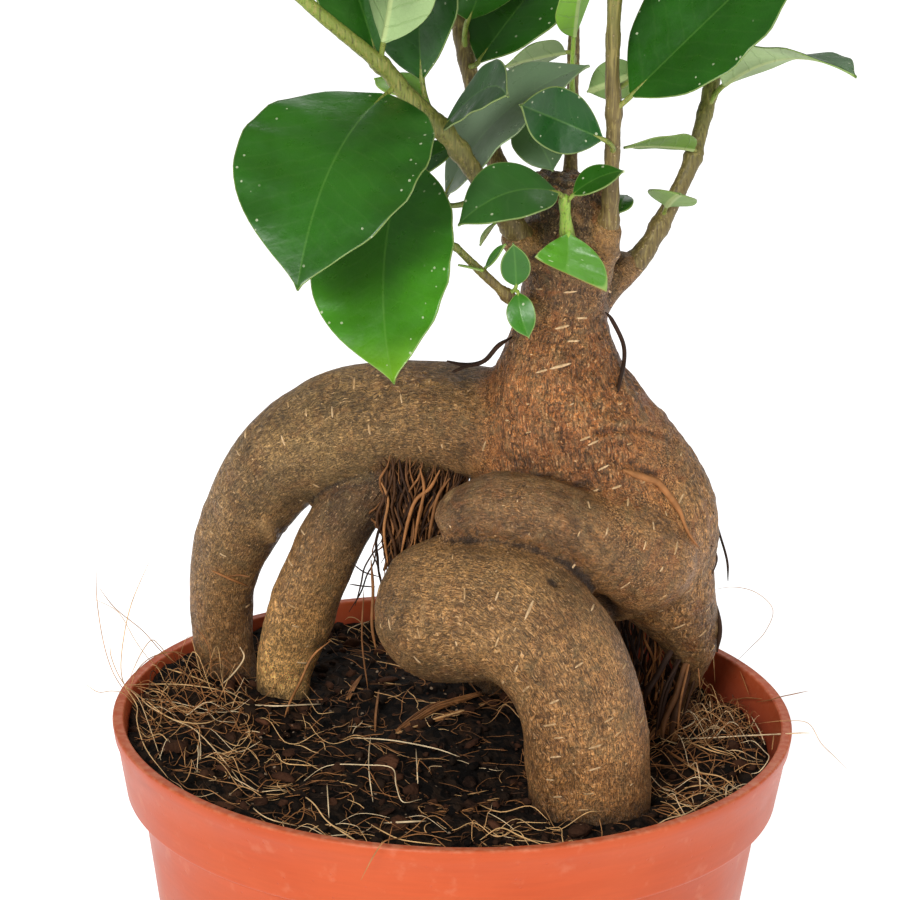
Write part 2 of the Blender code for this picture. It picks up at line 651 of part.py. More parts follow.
def leaf_body(name, leaf):
    """One leaf: its stalk from the middle of the stem, running into a thin folded blade."""
    stem, drop, base = leaf[0], leaf[1], Vector(leaf[2])
    joint = nearest_on(STEMS[stem], base - Vector((0, 0, drop)))
    first = blade_point(leaf, 0.0, 0.0)[0]
    ahead = (blade_point(leaf, 0.04, 0.0)[0] - first).normalized()
    across = blade_frame(base, Vector(leaf[3]), leaf[5])[2]
    reach = (base - joint).length
    bend = base - ahead * (0.45 * reach)
    radius = min(STALK_RADIUS, 0.32 + 0.03 * leaf[4])

    rings = []
    for t in (0.0, 0.6):
        centre = joint * (1 - t) ** 2 + bend * (2 * t * (1 - t)) + base * t**2
        heading = ((bend - joint) * (1 - t) + (base - bend) * t).normalized()
        side = (across - heading * across.dot(heading)).normalized()
        up = side.cross(heading)
        turns = [math.radians(angle) for angle in (150, 90, 30, -30, -90, -150)]
        rings.append([centre + side * (radius * math.cos(a)) + up * (radius * math.sin(a)) for a in turns])
    for t in BLADE_STATIONS:
        half = BLADE_THICKNESS / 2 if t > 0 else radius * 0.9
        sides = [blade_point(leaf, t, u) for u in (-1, 0, 1)]
        ring = [place + up * half for place, up in sides]
        ring += [place - up * half for place, up in reversed(sides)]
        rings.append(ring)

    def build(bm):
        made = [[bm.verts.new(place) for place in ring] for ring in rings]
        for low, high in zip(made, made[1:]):
            for i in range(6):
                j = (i + 1) % 6
                bm.faces.new((low[i], low[j], high[j], high[i]))
        bm.faces.new(made[0])
        bm.faces.new(made[-1])

    return mesh_from(name, build)


def samples(leaf):
    """Places spread over a blade, to measure how near two blades come."""
    shares = [i / 11 for i in range(12)]
    return [blade_point(leaf, t, u)[0] for t in shares for u in (-1, -0.66, -0.33, 0, 0.33, 0.66, 1)]


def crown_leaves():
    """Leaves up the stems in a spiral, each turned on until it clears the ones already there."""
    rng = random.Random(CROWN_SEED)
    placed = list(LEAVES)
    clouds = [samples(leaf) for leaf in placed]
    stems = {name: [point.to_3d() for point in smooth_route(route, 4)] for name, route in STEMS.items()}
    middle = Vector((16.0, 8.0, 0.0))
    for stem, start, count, length in CROWN:
        line = stems[stem]
        azimuth = rng.uniform(0, 360)
        for i in range(count):
            share = start + (1.0 - start) * i / (count - 1)
            joint = line[round(share * (len(line) - 1))]
            outward = Vector((joint.x - middle.x, joint.y - middle.y, 0.0)).normalized()
            size = length * (1.0 - 0.35 * (i / count) ** 2) * rng.uniform(0.9, 1.08)
            lift = rng.uniform(18, 38) + 22 * i / count
            roll = rng.uniform(-14, 14)
            arch = rng.uniform(0.05, 0.12)
            best = None
            for turned in range(45):
                heading = math.radians(azimuth + 24 * turned)
                flat = Vector((math.cos(heading), math.sin(heading), 0.0))
                reach = size * (0.76 + 0.24 * max(0.0, flat.dot(outward)))
                rise = math.radians(lift + 12 * (turned // 15))
                along = flat * math.cos(rise) + Vector((0, 0, math.sin(rise)))
                base = joint + along * 4.0 + Vector((0, 0, 1.0))
                tip = base + along * reach
                leaf = (stem, 2.5, base, tip, 0.29 * reach, roll, arch, 0.0)
                cloud = samples(leaf)
                others = [place for other in clouds for place in other]
                others += [place for name, route in stems.items() if name != stem for place in route]
                others += [place for place in line if (place - joint).length > 9.0]
                if min(place.z - CROWN_FALL * place.y for place in cloud) < CROWN_LEVEL:
                    continue
                room = min((a - b).length_squared for a in cloud for b in others) ** 0.5
                if best is None or room > best[0]:
                    best = (room, leaf, cloud)
                if room > CLEARANCE:
                    break
            placed.append(best[1])
            clouds.append(best[2])
            azimuth += 137.5
    return placed


def leafy_stems():
    """Each stem fused with the leaves that grow on it."""
    leaves = crown_leaves()
    finish = material("leaf_and_stem", (0.05, 0.16, 0.03), 0.45)
    for name, route in STEMS.items():
        stem = tube(name, route, STEM_SIDES_LEVEL, 2)
        blades = [leaf_body(f"{name}_leaf_{i}", leaf) for i, leaf in enumerate(leaves) if leaf[0] == name]
        boolean(stem, blades, "UNION")
        shade(stem, finish, 40.0)


def main():
    remove_startup_objects()
    bpy.context.scene.unit_settings.scale_length = 1.0
    pot()
    soil()
    root_stock()
    leafy_stems()


main()
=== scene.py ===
"""Looks of the potted Chinese banyan: finer roots, leaves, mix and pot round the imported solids.

Lengths are in millimetres and become metres through MM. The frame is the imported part's: +Z up, origin
at the middle of the pot's underside, and the big folded root towards -Y.
"""

import math
import random

import bmesh
import bpy
import numpy as np
from mathutils import Matrix, Vector, noise
from mathutils.bvhtree import BVHTree


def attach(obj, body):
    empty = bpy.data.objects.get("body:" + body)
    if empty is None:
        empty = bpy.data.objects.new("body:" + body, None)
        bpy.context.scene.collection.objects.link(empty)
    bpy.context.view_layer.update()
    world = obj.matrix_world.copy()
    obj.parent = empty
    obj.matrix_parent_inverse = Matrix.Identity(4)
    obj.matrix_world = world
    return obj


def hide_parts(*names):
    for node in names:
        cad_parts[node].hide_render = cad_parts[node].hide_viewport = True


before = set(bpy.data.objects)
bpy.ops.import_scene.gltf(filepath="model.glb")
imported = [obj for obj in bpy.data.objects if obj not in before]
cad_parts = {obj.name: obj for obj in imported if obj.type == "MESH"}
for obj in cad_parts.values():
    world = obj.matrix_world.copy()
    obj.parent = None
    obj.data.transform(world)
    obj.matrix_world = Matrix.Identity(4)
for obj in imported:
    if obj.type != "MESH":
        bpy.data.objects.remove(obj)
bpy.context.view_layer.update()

MM = 0.001
BODY = "root"

# Camera: distance to the middle of the rim, angle over it, and small turns to the photo's crop
CAMERA_DISTANCE = 700.0
CAMERA_ELEVATION = 22.12
CAMERA_YAW = 0.117
CAMERA_PITCH = 3.799
CAMERA_ROLL = -1.22
FOCAL_PIXELS = 3945.2
PICTURE_PIXELS = 900
SENSOR_WIDTH = 36.0

# Pot
POT_HEIGHT = 105.0
RIM_RADIUS = 60.0
RIM_WIDTH = 2.0
LIP_FILLET = 0.45
BAND_HEIGHT = 13.6
RIM_STEP = 0.7
RIM_FOOT = 2.8
BAND_FOOT_RADIUS = 57.6
SHOULDER_RADIUS = 55.1
FOOT_RADIUS = 42.0
WALL = 1.7
FLOOR = 2.2
CORNER = 2.5
POT_SIDES = 176
DRAIN_HOLES = 8
DRAIN_RADIUS = 3.6
DRAIN_CIRCLE = 28.0
DRAIN_SIDES = 40
HUB_RADIUS = 5.0
BAND_FILLET = 0.8
SHARP_ANGLE = math.radians(38)

# Potting mix: level, slope and mounds of its top, how finely it is divided, and its gap to the pot
SOIL_LEVEL = 100.2
SOIL_SLOPE = -0.045
SOIL_BUMP = 0.9
SOIL_RINGS = 84
SOIL_SPOKES = 240
SOIL_GAP = 0.3
# Height, width and seed of the ripples that make its lumps, and the range they are kept in
SOIL_RIPPLES = [(0.75, 5.5, 1), (0.65, 2.4, 2), (0.45, 1.1, 3)]
SOIL_RANGE = (-1.2, 1.1)
CRUMBS = 2200
CRUMB_LEAST = 0.3
CRUMB_SPREAD = 1.2
CHIPS = 26
CHIP_SIZES = (1.2, 2.6)
SOIL_SEED = 7
# Bits of bark caught among the thin roots: how many, and the ranges of x, y and height over the mix
CAUGHT = (90, (30.0, 41.0), (6.0, 24.0), (0.5, 8.0))
CAUGHT_SIZES = (0.4, 1.3)
FIBRE_RADII = (0.05, 0.09)
HUSK_RADII = (0.07, 0.18)
# How far the fibres' tones spread round their middle, in the tangle, in the clumps and in the husk
TONE_SPREADS = (0.22, 0.26, 0.1)
HUSK_DARKEST = 0.1
# Fibres start this far inside the rim. This share of them gathers towards the left, and this share is left
# out of the bare middle
FIBRE_MARGIN = 3.0
LEFT_SHARE = 0.15
LEFT_SPREAD = 1.2
BARE_SHARE = 0.7
# Fibres of a clump: spread of their headings in degrees, bend at each point, and ranges of their counts of
# points and of their steps
CLUMP_SPREAD = 35
CLUMP_BEND = 0.18
CLUMP_COUNTS = (7, 15)
CLUMP_STEPS = (1.0, 2.2)
# Fibres spread by rule: how many, fewest and most points, longest step, bend at each, highest loop, tone,
# and the share of the mix's radius inside which they are rare
FIBRE_KINDS = [
    (820, 4, 7, 1.5, 0.5, 1.2, 0.3, 0.0),
    (230, 6, 12, 2.0, 0.26, 3.0, 0.6, 0.6),
]
# Places where more fibres lie: x, y, spread, how many, heading in degrees, tone, highest loop
FIBRE_CLUMPS = [
    (-55.5, 8.0, 5.0, 40, -22, 0.5, 5.0),
    (-52.5, 20.0, 5.0, 24, -60, 0.5, 8.0),
    (48.0, 12.0, 9.0, 66, 200, 0.38, 4.0),
    (54.0, 9.0, 7.0, 60, 120, 0.4, 6.0),
    (47.0, 27.0, 6.0, 46, 230, 0.36, 6.0),
    (-26.0, -44.0, 5.0, 9, -60, 0.9, 4.0),
    (-46.0, -20.0, 6.0, 8, -60, 0.7, 4.0),
    (48.0, -26.0, 7.0, 44, 140, 0.5, 4.0),
    (20.0, 22.0, 9.0, 24, 180, 0.4, 4.0),
]
# Fibres seen in the photograph: radius, tone, and the points they pass. A point of two numbers is a pixel
# where they lie on the mix or touch the wall; a third number is where they hang free, as for LOOSE_ROOTS
SEEN_FIBRES = [
    (0.12, 1.0, [(671, 739), (705, 738), (740, 736, 2), (782, 734, -6), (800, 733, -9), (811, 733, -11)]),
    (0.13, 0.5, [(710, 732), (730, 724), (751, 714), (774, 701), (784, 706)]),
    (0.10, 0.5, [(727, 702), (745, 698), (762, 699), (774, 701)]),
    (0.10, 0.5, [(756, 702), (770, 700, 8), (780, 697, 5), (794, 694, 2), (808, 691, -2)]),
    (0.10, 0.7, [(710, 695), (701, 712), (695, 721), (701, 730), (710, 747), (734, 756), (740, 773)]),
    (0.10, 1.0, [(675, 731), (686, 727), (695, 720), (688, 710), (675, 706)]),
    (0.11, 0.8, [(682, 740), (697, 745), (712, 751), (732, 756)]),
    (0.13, 0.7, [(680, 760), (699, 772), (721, 777), (738, 790)]),
    (0.10, 1.0, [(751, 716), (760, 732), (765, 745)]),
    (0.10, 1.0, [(740, 743), (753, 741), (764, 751), (769, 758), (760, 771), (751, 774)]),
    (0.10, 0.7, [(773, 703), (766, 725), (775, 740)]),
    (0.12, 0.6, [(784, 703), (777, 721), (774, 734), (772, 750)]),
    (0.09, 0.8, [(699, 658, 18), (702, 680, 16), (712, 690)]),
    (0.07, 0.8, [(713, 650, 20), (714, 668, 19), (715, 684)]),
    (0.08, 0.6, [(699, 790), (712, 769), (716, 751)]),
    (0.08, 0.5, [(740, 671), (745, 684), (749, 695)]),
    (0.06, 0.6, [
        (711, 590, 12), (734, 587, 12), (757, 593, 14), (773, 610, 17), (765, 632, 21), (750, 648, 24),
        (735, 663, 25.5),
    ]),
    (0.06, 0.7, [
        (756, 724), (770, 722, 2), (784, 721, -2), (808, 723, -6), (821, 743, -8), (834, 756, -10),
        (847, 769, -12),
    ]),
    (0.09, 0.7, [(140, 704), (126, 688, 4), (121, 668, 5), (124, 636, 5), (132, 602, 5), (149, 562, 3)]),
    (0.08, 0.6, [(138, 706), (124, 690, 3), (112, 670, 3), (103, 640, 2), (97, 600, 1), (96, 562, 0)]),
    (0.08, 0.6, [(178, 668), (160, 650, 15), (142, 630, 12), (115, 608, 8), (98, 586, 4)]),
    (0.08, 0.7, [(137, 702), (126, 687, 4), (117, 672, 3), (111, 656, 1), (110, 645, 0)]),
    (0.06, 0.8, [(170, 676), (150, 660, 14), (135, 640, 10), (118, 612, 6), (92, 598, 2)]),
    (0.07, 0.7, [(138, 710), (124, 694, 1), (112, 691, 0), (98, 692, -3), (84, 683, -5)]),
    (0.08, 0.7, [
        (190, 672), (172, 660, 17), (160, 646, 14), (152, 640, 12), (143, 650, 9), (134, 668, 6),
        (128, 684, 5),
    ]),
    (0.09, 0.6, [(200, 668), (186, 655, 20), (170, 652, 16), (150, 658, 11), (136, 672, 7), (130, 690, 4)]),
    (0.11, 0.9, [(127, 687, 5), (138, 695), (149, 706), (172, 719), (195, 730), (221, 757), (244, 787)]),
    (0.12, 0.75, [(150, 668), (165, 668), (191, 676), (214, 685)]),
    (0.10, 0.85, [(126, 685, 6), (138, 687), (157, 684), (187, 685), (225, 691), (244, 700)]),
    (0.10, 0.75, [(127, 688, 5), (138, 696), (148, 702), (172, 719), (206, 723), (231, 710)]),
    (0.10, 0.85, [(127, 690, 4), (137, 706), (137, 722), (146, 749), (168, 778)]),
    (0.08, 0.9, [(126, 686, 6), (139, 700), (150, 728), (161, 760)]),
    (0.09, 0.6, [(126, 684, 6), (141, 681), (157, 693), (161, 719), (149, 742)]),
    (0.10, 0.45, [(193, 624, 18), (203, 636, 16), (210, 652, 14), (211, 677, 10)]),
    (0.16, 0.95, [(240, 647, 14), (244, 658, 14), (233, 674, 12), (220, 686)]),
    (0.26, 0.5, [(284, 719), (290, 702, 4), (300, 682, 3), (312, 657, 4), (330, 641, 5)]),
    (0.13, 1.0, [(240, 704), (274, 706), (300, 705), (323, 704)]),
    (0.26, 0.35, [(375, 732), (376, 712), (379, 690)]),
    (0.12, 1.0, [(354, 738), (378, 739), (403, 742), (437, 749), (460, 757)]),
    (0.10, 1.0, [(301, 783), (327, 766), (365, 765), (392, 768), (396, 785), (403, 802), (422, 799)]),
    (0.10, 1.0, [(371, 734), (369, 752), (369, 772), (373, 802)]),
    (0.10, 1.0, [(416, 749), (417, 768), (418, 787)]),
    (0.13, 0.85, [(289, 787), (312, 802), (327, 821), (350, 837), (373, 852)]),
    (0.11, 0.8, [(365, 821), (384, 832), (403, 840), (441, 845)]),
    (0.17, 1.0, [(384, 823), (405, 822), (426, 821)]),
    (0.10, 0.9, [(246, 802), (267, 818), (297, 826)]),
    (0.12, 0.55, [
        (361, 880, -59.6), (368, 866, -60.3), (376, 852, -61), (385, 841, -59.6), (400, 838), (422, 834),
        (452, 841),
    ]),
    (0.10, 1.0, [(327, 783), (328, 800), (329, 818)]),
    (0.10, 0.75, [(270, 745), (283, 762), (302, 765), (318, 766)]),
    (0.10, 0.7, [(470, 800), (500, 812), (530, 806), (548, 820)]),
    (0.12, 0.8, [(480, 840), (500, 828), (520, 836), (545, 846)]),
    (0.11, 0.9, [(640, 838), (665, 820), (690, 812), (720, 790)]),
    (0.10, 0.7, [(655, 800), (672, 806), (690, 826), (704, 830)]),
]
# Strips of husk seen in the photograph: half their width, tone, how many fibres they hold, and their points
SEEN_STRIPS = [
    (0.35, 0.45, 12, [(649, 743), (662, 750), (673, 756), (699, 772)]),
    (1.30, 0.42, 44, [(650, 740), (658, 734), (667, 734), (676, 741)]),
    (0.35, 0.5, 9, [(347, 700), (353, 690), (361, 676)]),
    (0.90, 0.42, 40, [(398, 732), (412, 724), (432, 712), (455, 703), (480, 695)]),
    (0.30, 0.62, 6, [(396, 734), (430, 722), (456, 714), (486, 704)]),
]
FIBRE_LIFT = 0.5
WALL_ROOM = 0.6

# Root stock: voxel and smoothing passes of the limbs alone, then of the whole skin
BLEND_VOXEL = 1.2
BLEND_STEPS = 9
SKIN_VOXEL = 0.7
SKIN_STEPS = 2
# How softly the colours of two roots meet, and how far the grain of one is moved from the next
TINT_BLEND = 0.9
GRAIN_STEP = 61.0
FIELD_BLOCK = 20000
# Smoothing passes that show narrow creases and broad hollows, and how far from a mark's middle it is drawn
CREASE_PASSES = 14
HOLLOW_PASSES = 90
MARK_REACH = 45.0
# Height, width and seed of the ripples on the bark and on the sawn face, and the range of the latter
BARK_RIPPLES = [(0.42, 13.0, 1), (0.2, 5.0, 2)]
SAWN_RIPPLES = [(1.1, 1.7, 5), (0.8, 4.0, 6)]
SAWN_RANGE = (-1.6, 1.2)
# Pores spread by rule: how many, the least distance between two, and the heights they keep to
PORES = 300
PORE_ROOM = 3.6
PORE_LOW = 106.0
PORE_HIGH = 197.0
PORE_ROWS = 7
PORE_SIDES = 6
ROOT_SEED = 23

# Studio
ROOM_LIGHT = 0.24
FLOOR_SIZE = 14.0
FLOOR_GLOW = 0.7
# Name, place, target, size and power of each lamp, in metres and watts
LAMPS = [
    ("key", (-0.5, -1.32, 0.85), (0.0, 0.0, 0.14), 0.5, 18.5),
    ("side", (1.1, -0.9, 0.7), (0.0, 0.0, 0.14), 0.6, 4.6),
    ("back", (0.2, 1.1, 1.2), (0.0, 0.0, 0.16), 0.8, 5.0),
]

# Each route is a list of (x, y, z, radius) along the middle of one root
TRUNK = [
    (25.0, 4.0, 136.0, 14.5), (22.2, 3.5, 147.0, 17.8), (19.0, 3.0, 158.0, 15.0),
    (17.2, 3.5, 167.0, 11.6), (17.2, 4.5, 175.0, 8.6), (17.8, 5.0, 182.0, 7.6), (18.2, 5.8, 190.0, 8.2),
    (18.3, 6.0, 197.0, 7.0), (18.3, 6.0, 203.0, 6.2),
]
LEFT_ROOT = [
    (14.0, 5.0, 155.0, 11.0), (0.0, 8.0, 157.2, 9.6), (-10.5, 11.0, 156.3, 9.8),
    (-20.6, 15.0, 152.4, 10.3), (-31.0, 19.0, 145.3, 9.1), (-38.5, 23.5, 132.3, 7.6),
    (-42.2, 26.5, 119.5, 6.1), (-42.6, 27.3, 108.0, 5.6), (-40.4, 26.2, 97.5, 5.3),
    (-36.6, 25.2, 88.0, 4.2),
]
SECOND_ROOT = [
    (-6.0, 9.5, 149.0, 5.4), (-15.5, 10.5, 143.0, 5.6), (-20.8, 11.5, 135.5, 5.9),
    (-25.3, 13.0, 125.0, 6.3), (-28.4, 16.0, 114.2, 6.1), (-30.8, 18.0, 104.0, 5.2),
    (-29.8, 16.4, 94.5, 4.4), (-27.4, 14.2, 86.0, 3.4),
]
RIGHT_ROOT = [
    (25.5, 3.0, 152.0, 13.0), (32.6, 4.0, 142.0, 13.0), (36.0, 6.5, 130.0, 10.2),
    (40.0, 9.5, 121.0, 7.0), (42.4, 12.0, 114.0, 5.0), (42.6, 13.6, 109.0, 3.2),
    (41.0, 15.5, 101.0, 1.7), (38.0, 16.0, 91.0, 1.4),
]
BACK_ROOT = [
    (17.0, 10.0, 148.0, 11.0), (14.0, 19.0, 137.0, 8.8), (10.0, 26.0, 122.0, 7.4),
    (8.0, 29.0, 108.0, 6.8), (7.5, 29.5, 96.0, 6.0), (7.5, 28.0, 85.0, 4.4),
]
BACK_RIGHT_ROOT = [
    (28.0, 8.0, 148.0, 10.0), (31.0, 19.0, 137.0, 7.8), (29.5, 29.0, 122.0, 6.4),
    (26.0, 34.5, 107.0, 5.6), (24.5, 34.5, 96.0, 4.8), (22.5, 32.5, 86.0, 3.6),
]
FRONT_ROOT = [
    (5.0, -3.0, 129.0, 10.5), (-1.5, -11.0, 128.6, 12.4), (1.2, -15.0, 130.2, 13.0),
    (8.6, -19.5, 131.8, 12.3), (16.2, -23.3, 127.6, 11.2), (21.3, -25.0, 118.0, 10.8),
    (23.2, -25.2, 107.0, 10.7), (24.0, -25.0, 96.0, 10.2), (23.5, -24.0, 86.0, 8.2),
    (22.5, -22.5, 79.0, 5.0),
]
MIDDLE_ROOT = [
    (1.4, -13.4, 146.6, 5.4), (7.6, -15.6, 148.8, 6.3), (16.0, -16.0, 147.2, 6.8),
    (24.6, -12.5, 141.6, 7.8), (32.0, -5.0, 135.8, 8.8),
]
BELLY = [
    (17.0, -9.0, 146.0, 7.4), (24.8, -10.4, 142.6, 9.0), (32.0, -5.0, 137.0, 10.2),
]
# Swellings of the bark round the foot of each stem
COLLARS = [
    [(17.0, 4.5, 184.0, 5.0), (13.4, 2.6, 188.0, 3.9), (9.6, 0.2, 191.8, 3.1)],
    [(17.5, 6.5, 184.0, 5.0), (14.6, 8.6, 189.0, 3.7), (11.6, 10.3, 193.6, 3.0)],
    [(20.0, 4.5, 180.0, 5.0), (22.8, 2.4, 187.0, 3.6), (24.4, 0.6, 193.0, 2.9)],
    [(20.0, 6.0, 177.0, 4.8), (24.4, 7.8, 181.6, 3.6), (28.6, 9.2, 184.8, 2.7)],
    [(17.0, 4.5, 175.0, 4.5), (13.6, 0.4, 178.0, 3.2), (10.6, -2.6, 180.2, 2.2)],
]
BLENDED_ROOTS = [TRUNK, LEFT_ROOT, RIGHT_ROOT, BACK_ROOT, BACK_RIGHT_ROOT, BELLY]
PRESSED_ROOTS = [FRONT_ROOT, MIDDLE_ROOT, SECOND_ROOT]
STUMP_TOP = 201.0
STUMP_MIDDLE = (18.3, 6.0)
STUMP_REACH = 12.0
STUMP_LEAN = math.radians(7.0)

# Each root's ruggedness from 0 to 1, and its bark colours from start to end
RUST = (0.25, 0.096, 0.028)
BELLY_BROWN = (0.26, 0.139, 0.053)
OLIVE_TAN = (0.90, 0.57, 0.235)
ROOT_COLOURS = [
    (TRUNK, 1.0, [
        BELLY_BROWN, RUST, RUST, (0.19, 0.083, 0.028), (0.045, 0.027, 0.015), (0.045, 0.029, 0.016),
    ]),
    (LEFT_ROOT, 0.2, [
        (0.22, 0.108, 0.038), (0.19, 0.125, 0.052), (0.23, 0.134, 0.055), (0.24, 0.108, 0.04),
    ]),
    # The second root's first two colours, nearly black, are painted shadow where it lies under the left
    # root
    (SECOND_ROOT, 0.15, [
        (0.03, 0.015, 0.006), (0.05, 0.026, 0.01), (0.43, 0.24, 0.092), OLIVE_TAN, OLIVE_TAN,
    ]),
    (RIGHT_ROOT, 0.7, [
        (0.33, 0.176, 0.068), (0.35, 0.185, 0.072), (0.14, 0.075, 0.028), (0.04, 0.024, 0.01),
    ]),
    (BACK_ROOT, 0.3, [(0.24, 0.13, 0.048), (0.21, 0.11, 0.04)]),
    (BACK_RIGHT_ROOT, 0.3, [(0.24, 0.13, 0.048), (0.2, 0.105, 0.038)]),
    (FRONT_ROOT, 0.0, [
        (0.235, 0.127, 0.048), (0.25, 0.14, 0.056), (0.35, 0.172, 0.066), (0.39, 0.178, 0.065),
    ]),
    (MIDDLE_ROOT, 0.45, [(0.122, 0.058, 0.021), (0.14, 0.074, 0.028)]),
    (BELLY, 0.8, [BELLY_BROWN, (0.31, 0.16, 0.062)]),
    *[(route, 0.3, [(0.2, 0.11, 0.04), (0.2, 0.11, 0.036)]) for route in COLLARS],
]

# Lines over the photograph where the bark is raised or creased: the pixels they pass, their height and
# width in millimetres, and their shade from -1 dark to 1 pale. The dark shades are mostly painted shadow in
# the creases and pits; the pale ones are painted highlights on lit edges and patches, and pale flecks by
# the stump
RELIEF_MARKS = [
    ([(598, 432), (613, 430), (625, 430), (644, 431), (661, 436), (677, 442)], -0.35, 0.65, -0.42),
    ([(604, 437), (625, 436), (645, 437), (662, 443)], 0.25, 0.7, 0.2),
    ([(604, 424), (625, 423), (648, 425), (668, 431)], 0.35, 1.1, -0.1),
    ([(600, 596), (610, 608), (618, 622), (624, 640)], -0.8, 1.5, -0.9),
    ([(631, 461), (637, 467), (648, 471), (658, 474)], -0.6, 0.65, -0.55),
    ([(588, 528), (596, 540), (607, 552)], -0.3, 0.6, -0.35),
    ([(531, 262), (550, 268), (574, 278), (600, 288)], 0.5, 0.9, -0.1),
    ([(534, 257), (556, 262), (580, 271), (600, 279)], -0.6, 0.7, -0.8),
    ([(462, 372), (463, 385), (467, 400), (474, 416), (482, 430)], -0.3, 0.7, -0.22),
    ([(552, 580), (556, 583)], -0.7, 1.0, -0.9),
    ([(264, 522), (270, 530), (272, 538)], 0.9, 1.2, 0.6),
    ([(447, 497), (451, 490), (458, 483)], 0.0, 1.0, 0.7),
    ([(424, 605), (423, 624)], 0.3, 0.5, 0.5),
    ([(573, 216), (578, 220)], 0.3, 0.9, 0.5),
    ([(597, 213), (600, 218)], 0.3, 0.8, 0.5),
    ([(589, 224), (592, 227)], 0.2, 0.6, 0.5),
    ([(589, 239), (592, 242)], 0.2, 0.6, 0.45),
    ([(599, 266), (602, 270)], 0.2, 0.6, 0.45),
    ([(606, 247), (616, 253), (624, 261)], 0.8, 1.2, -0.5),
]

# Pores that the photograph shows: pixel and length
SEEN_PORES = [
    ((530, 608), 4.6), ((497, 642), 2.4), ((497, 596), 2.2), ((593, 607), 3.0), ((516, 669), 2.4),
    ((579, 665), 2.2), ((526, 689), 3.0), ((554, 702), 2.2), ((609, 720), 2.4), ((550, 725), 3.2),
    ((619, 733), 2.0), ((558, 738), 2.4), ((595, 747), 2.6), ((556, 757), 2.8), ((595, 769), 2.4),
    ((550, 780), 2.2), ((557, 797), 2.4), ((589, 794), 2.2), ((584, 810), 2.4), ((354, 384), 3.0),
    ((401, 398), 2.4), ((288, 404), 2.2), ((306, 412), 2.0), ((332, 411), 2.6), ((283, 441), 2.4),
    ((369, 429), 2.2), ((238, 453), 2.4), ((220, 505), 2.2), ((563, 327), 3.0), ((573, 341), 2.4),
    ((561, 366), 4.2), ((542, 371), 2.4), ((538, 289), 2.2), ((571, 292), 2.6), ((583, 318), 2.2),
    ((584, 439), 2.6), ((593, 443), 2.2), ((603, 468), 2.4), ((589, 505), 2.2), ((617, 487), 2.4),
    ((628, 502), 2.6), ((666, 513), 1.4), ((629, 444), 1.2), ((572, 404), 1.3), ((528, 404), 1.2),
]

# Loose roots seen in the photograph: radius, tone, and the points they pass. A point of two numbers is a
# pixel where they lie on the bark; a third number is where they hang free, in millimetres behind the middle
LOOSE_ROOTS = [
    (0.42, 0.05, [(512, 337, 1), (498, 346, -2), (484, 361, -1), (466, 365, 2), (447, 361, 4)]),
    (0.28, 0.05, [(480, 362, 0), (462, 368, 0), (452, 372, 0)]),
    (0.38, 0.03, [(604, 312), (612, 320, 1), (623, 343, 2), (624, 362, 2), (619, 382), (617, 392)]),
    (0.22, 0.0, [(712, 512), (719, 532, 7), (727, 560, 7), (728, 581, 7)]),
    (0.18, 0.1, [(710, 545), (717, 558, 7), (711, 574)]),
    (0.60, 0.45, [(612, 614, -3), (640, 614, 2), (664, 618, 6), (674, 620, 9)]),
    (0.62, 0.4, [(622, 470), (632, 474), (644, 478), (656, 482), (666, 493), (677, 508), (684, 524)]),
    (0.30, 0.4, [(672, 498), (680, 516), (688, 534), (698, 548)]),
    (0.24, 0.5, [(213, 570), (228, 577), (247, 585)]),
    (0.20, 0.3, [(226, 576), (238, 574), (250, 577, 16)]),
    (0.16, 0.0, [(382, 540, 5), (371, 556, 5), (364, 569, 5), (361, 584, 5), (355, 606, 5)]),
    (0.15, 0.0, [(376, 548, 6), (374, 562, 6), (367, 575, 6), (361, 592, 6), (349, 612, 6)]),
    (0.13, 0.0, [(349, 584, 5), (362, 586, 5), (376, 587, 5)]),
    (0.13, 0.0, [(352, 563, 6), (364, 572, 6), (380, 577, 6)]),
    (0.30, 0.3, [(371, 560, 3), (373, 590, 3), (372, 625, 2), (376, 650, 2)]),
    (0.16, 0.25, [(364, 590, 4), (362, 640, 2), (368, 690, 0)]),
    (0.34, 0.5, [(440, 470, 1), (430, 488, 2), (416, 500, 2), (408, 522, 2), (400, 560, 3)]),
    (0.30, 0.3, [(450, 478, 0), (438, 496, 1), (432, 520, 1), (428, 545, 2)]),
    (0.26, 0.55, [(380, 480, 4), (388, 500, 3), (384, 530, 3), (388, 565, 4)]),
    (0.28, 0.45, [(420, 468, 2), (424, 490, 2), (418, 520, 2), (414, 548, 3)]),
    (0.80, 0.12, [(697, 640, 12), (690, 662, 11), (682, 690, 9), (675, 714, 6), (670, 738, 4)]),
    (0.55, 0.2, [(694, 645, 9), (684, 668, 8), (676, 695, 6), (664, 722, 4), (662, 744, 3)]),
    (0.60, 0.03, [(682, 634, 9), (668, 656, 6), (657, 676, 5), (648, 690, 4), (643, 702, 4)]),
    (0.45, 0.03, [(684, 640, 10), (675, 668, 7), (664, 700, 5), (658, 730, 4)]),
    (0.30, 0.1, [(704, 640, 12), (698, 668, 12), (688, 700, 10), (680, 730, 8)]),
    (0.22, 0.4, [(695, 640, 11), (686, 676, 7), (680, 704, 5), (677, 738, 3)]),
    (0.45, 0.05, [(711, 596, 9), (717, 612, 9), (720, 630, 9), (717, 652, 9)]),
    (0.28, 0.05, [(686, 650, 8), (664, 690, 4), (655, 738, 2)]),
    (0.12, 0.5, [(697, 655, 10), (699, 675, 9), (700, 690, 9)]),
]
LOOSE_LIFT = 0.25
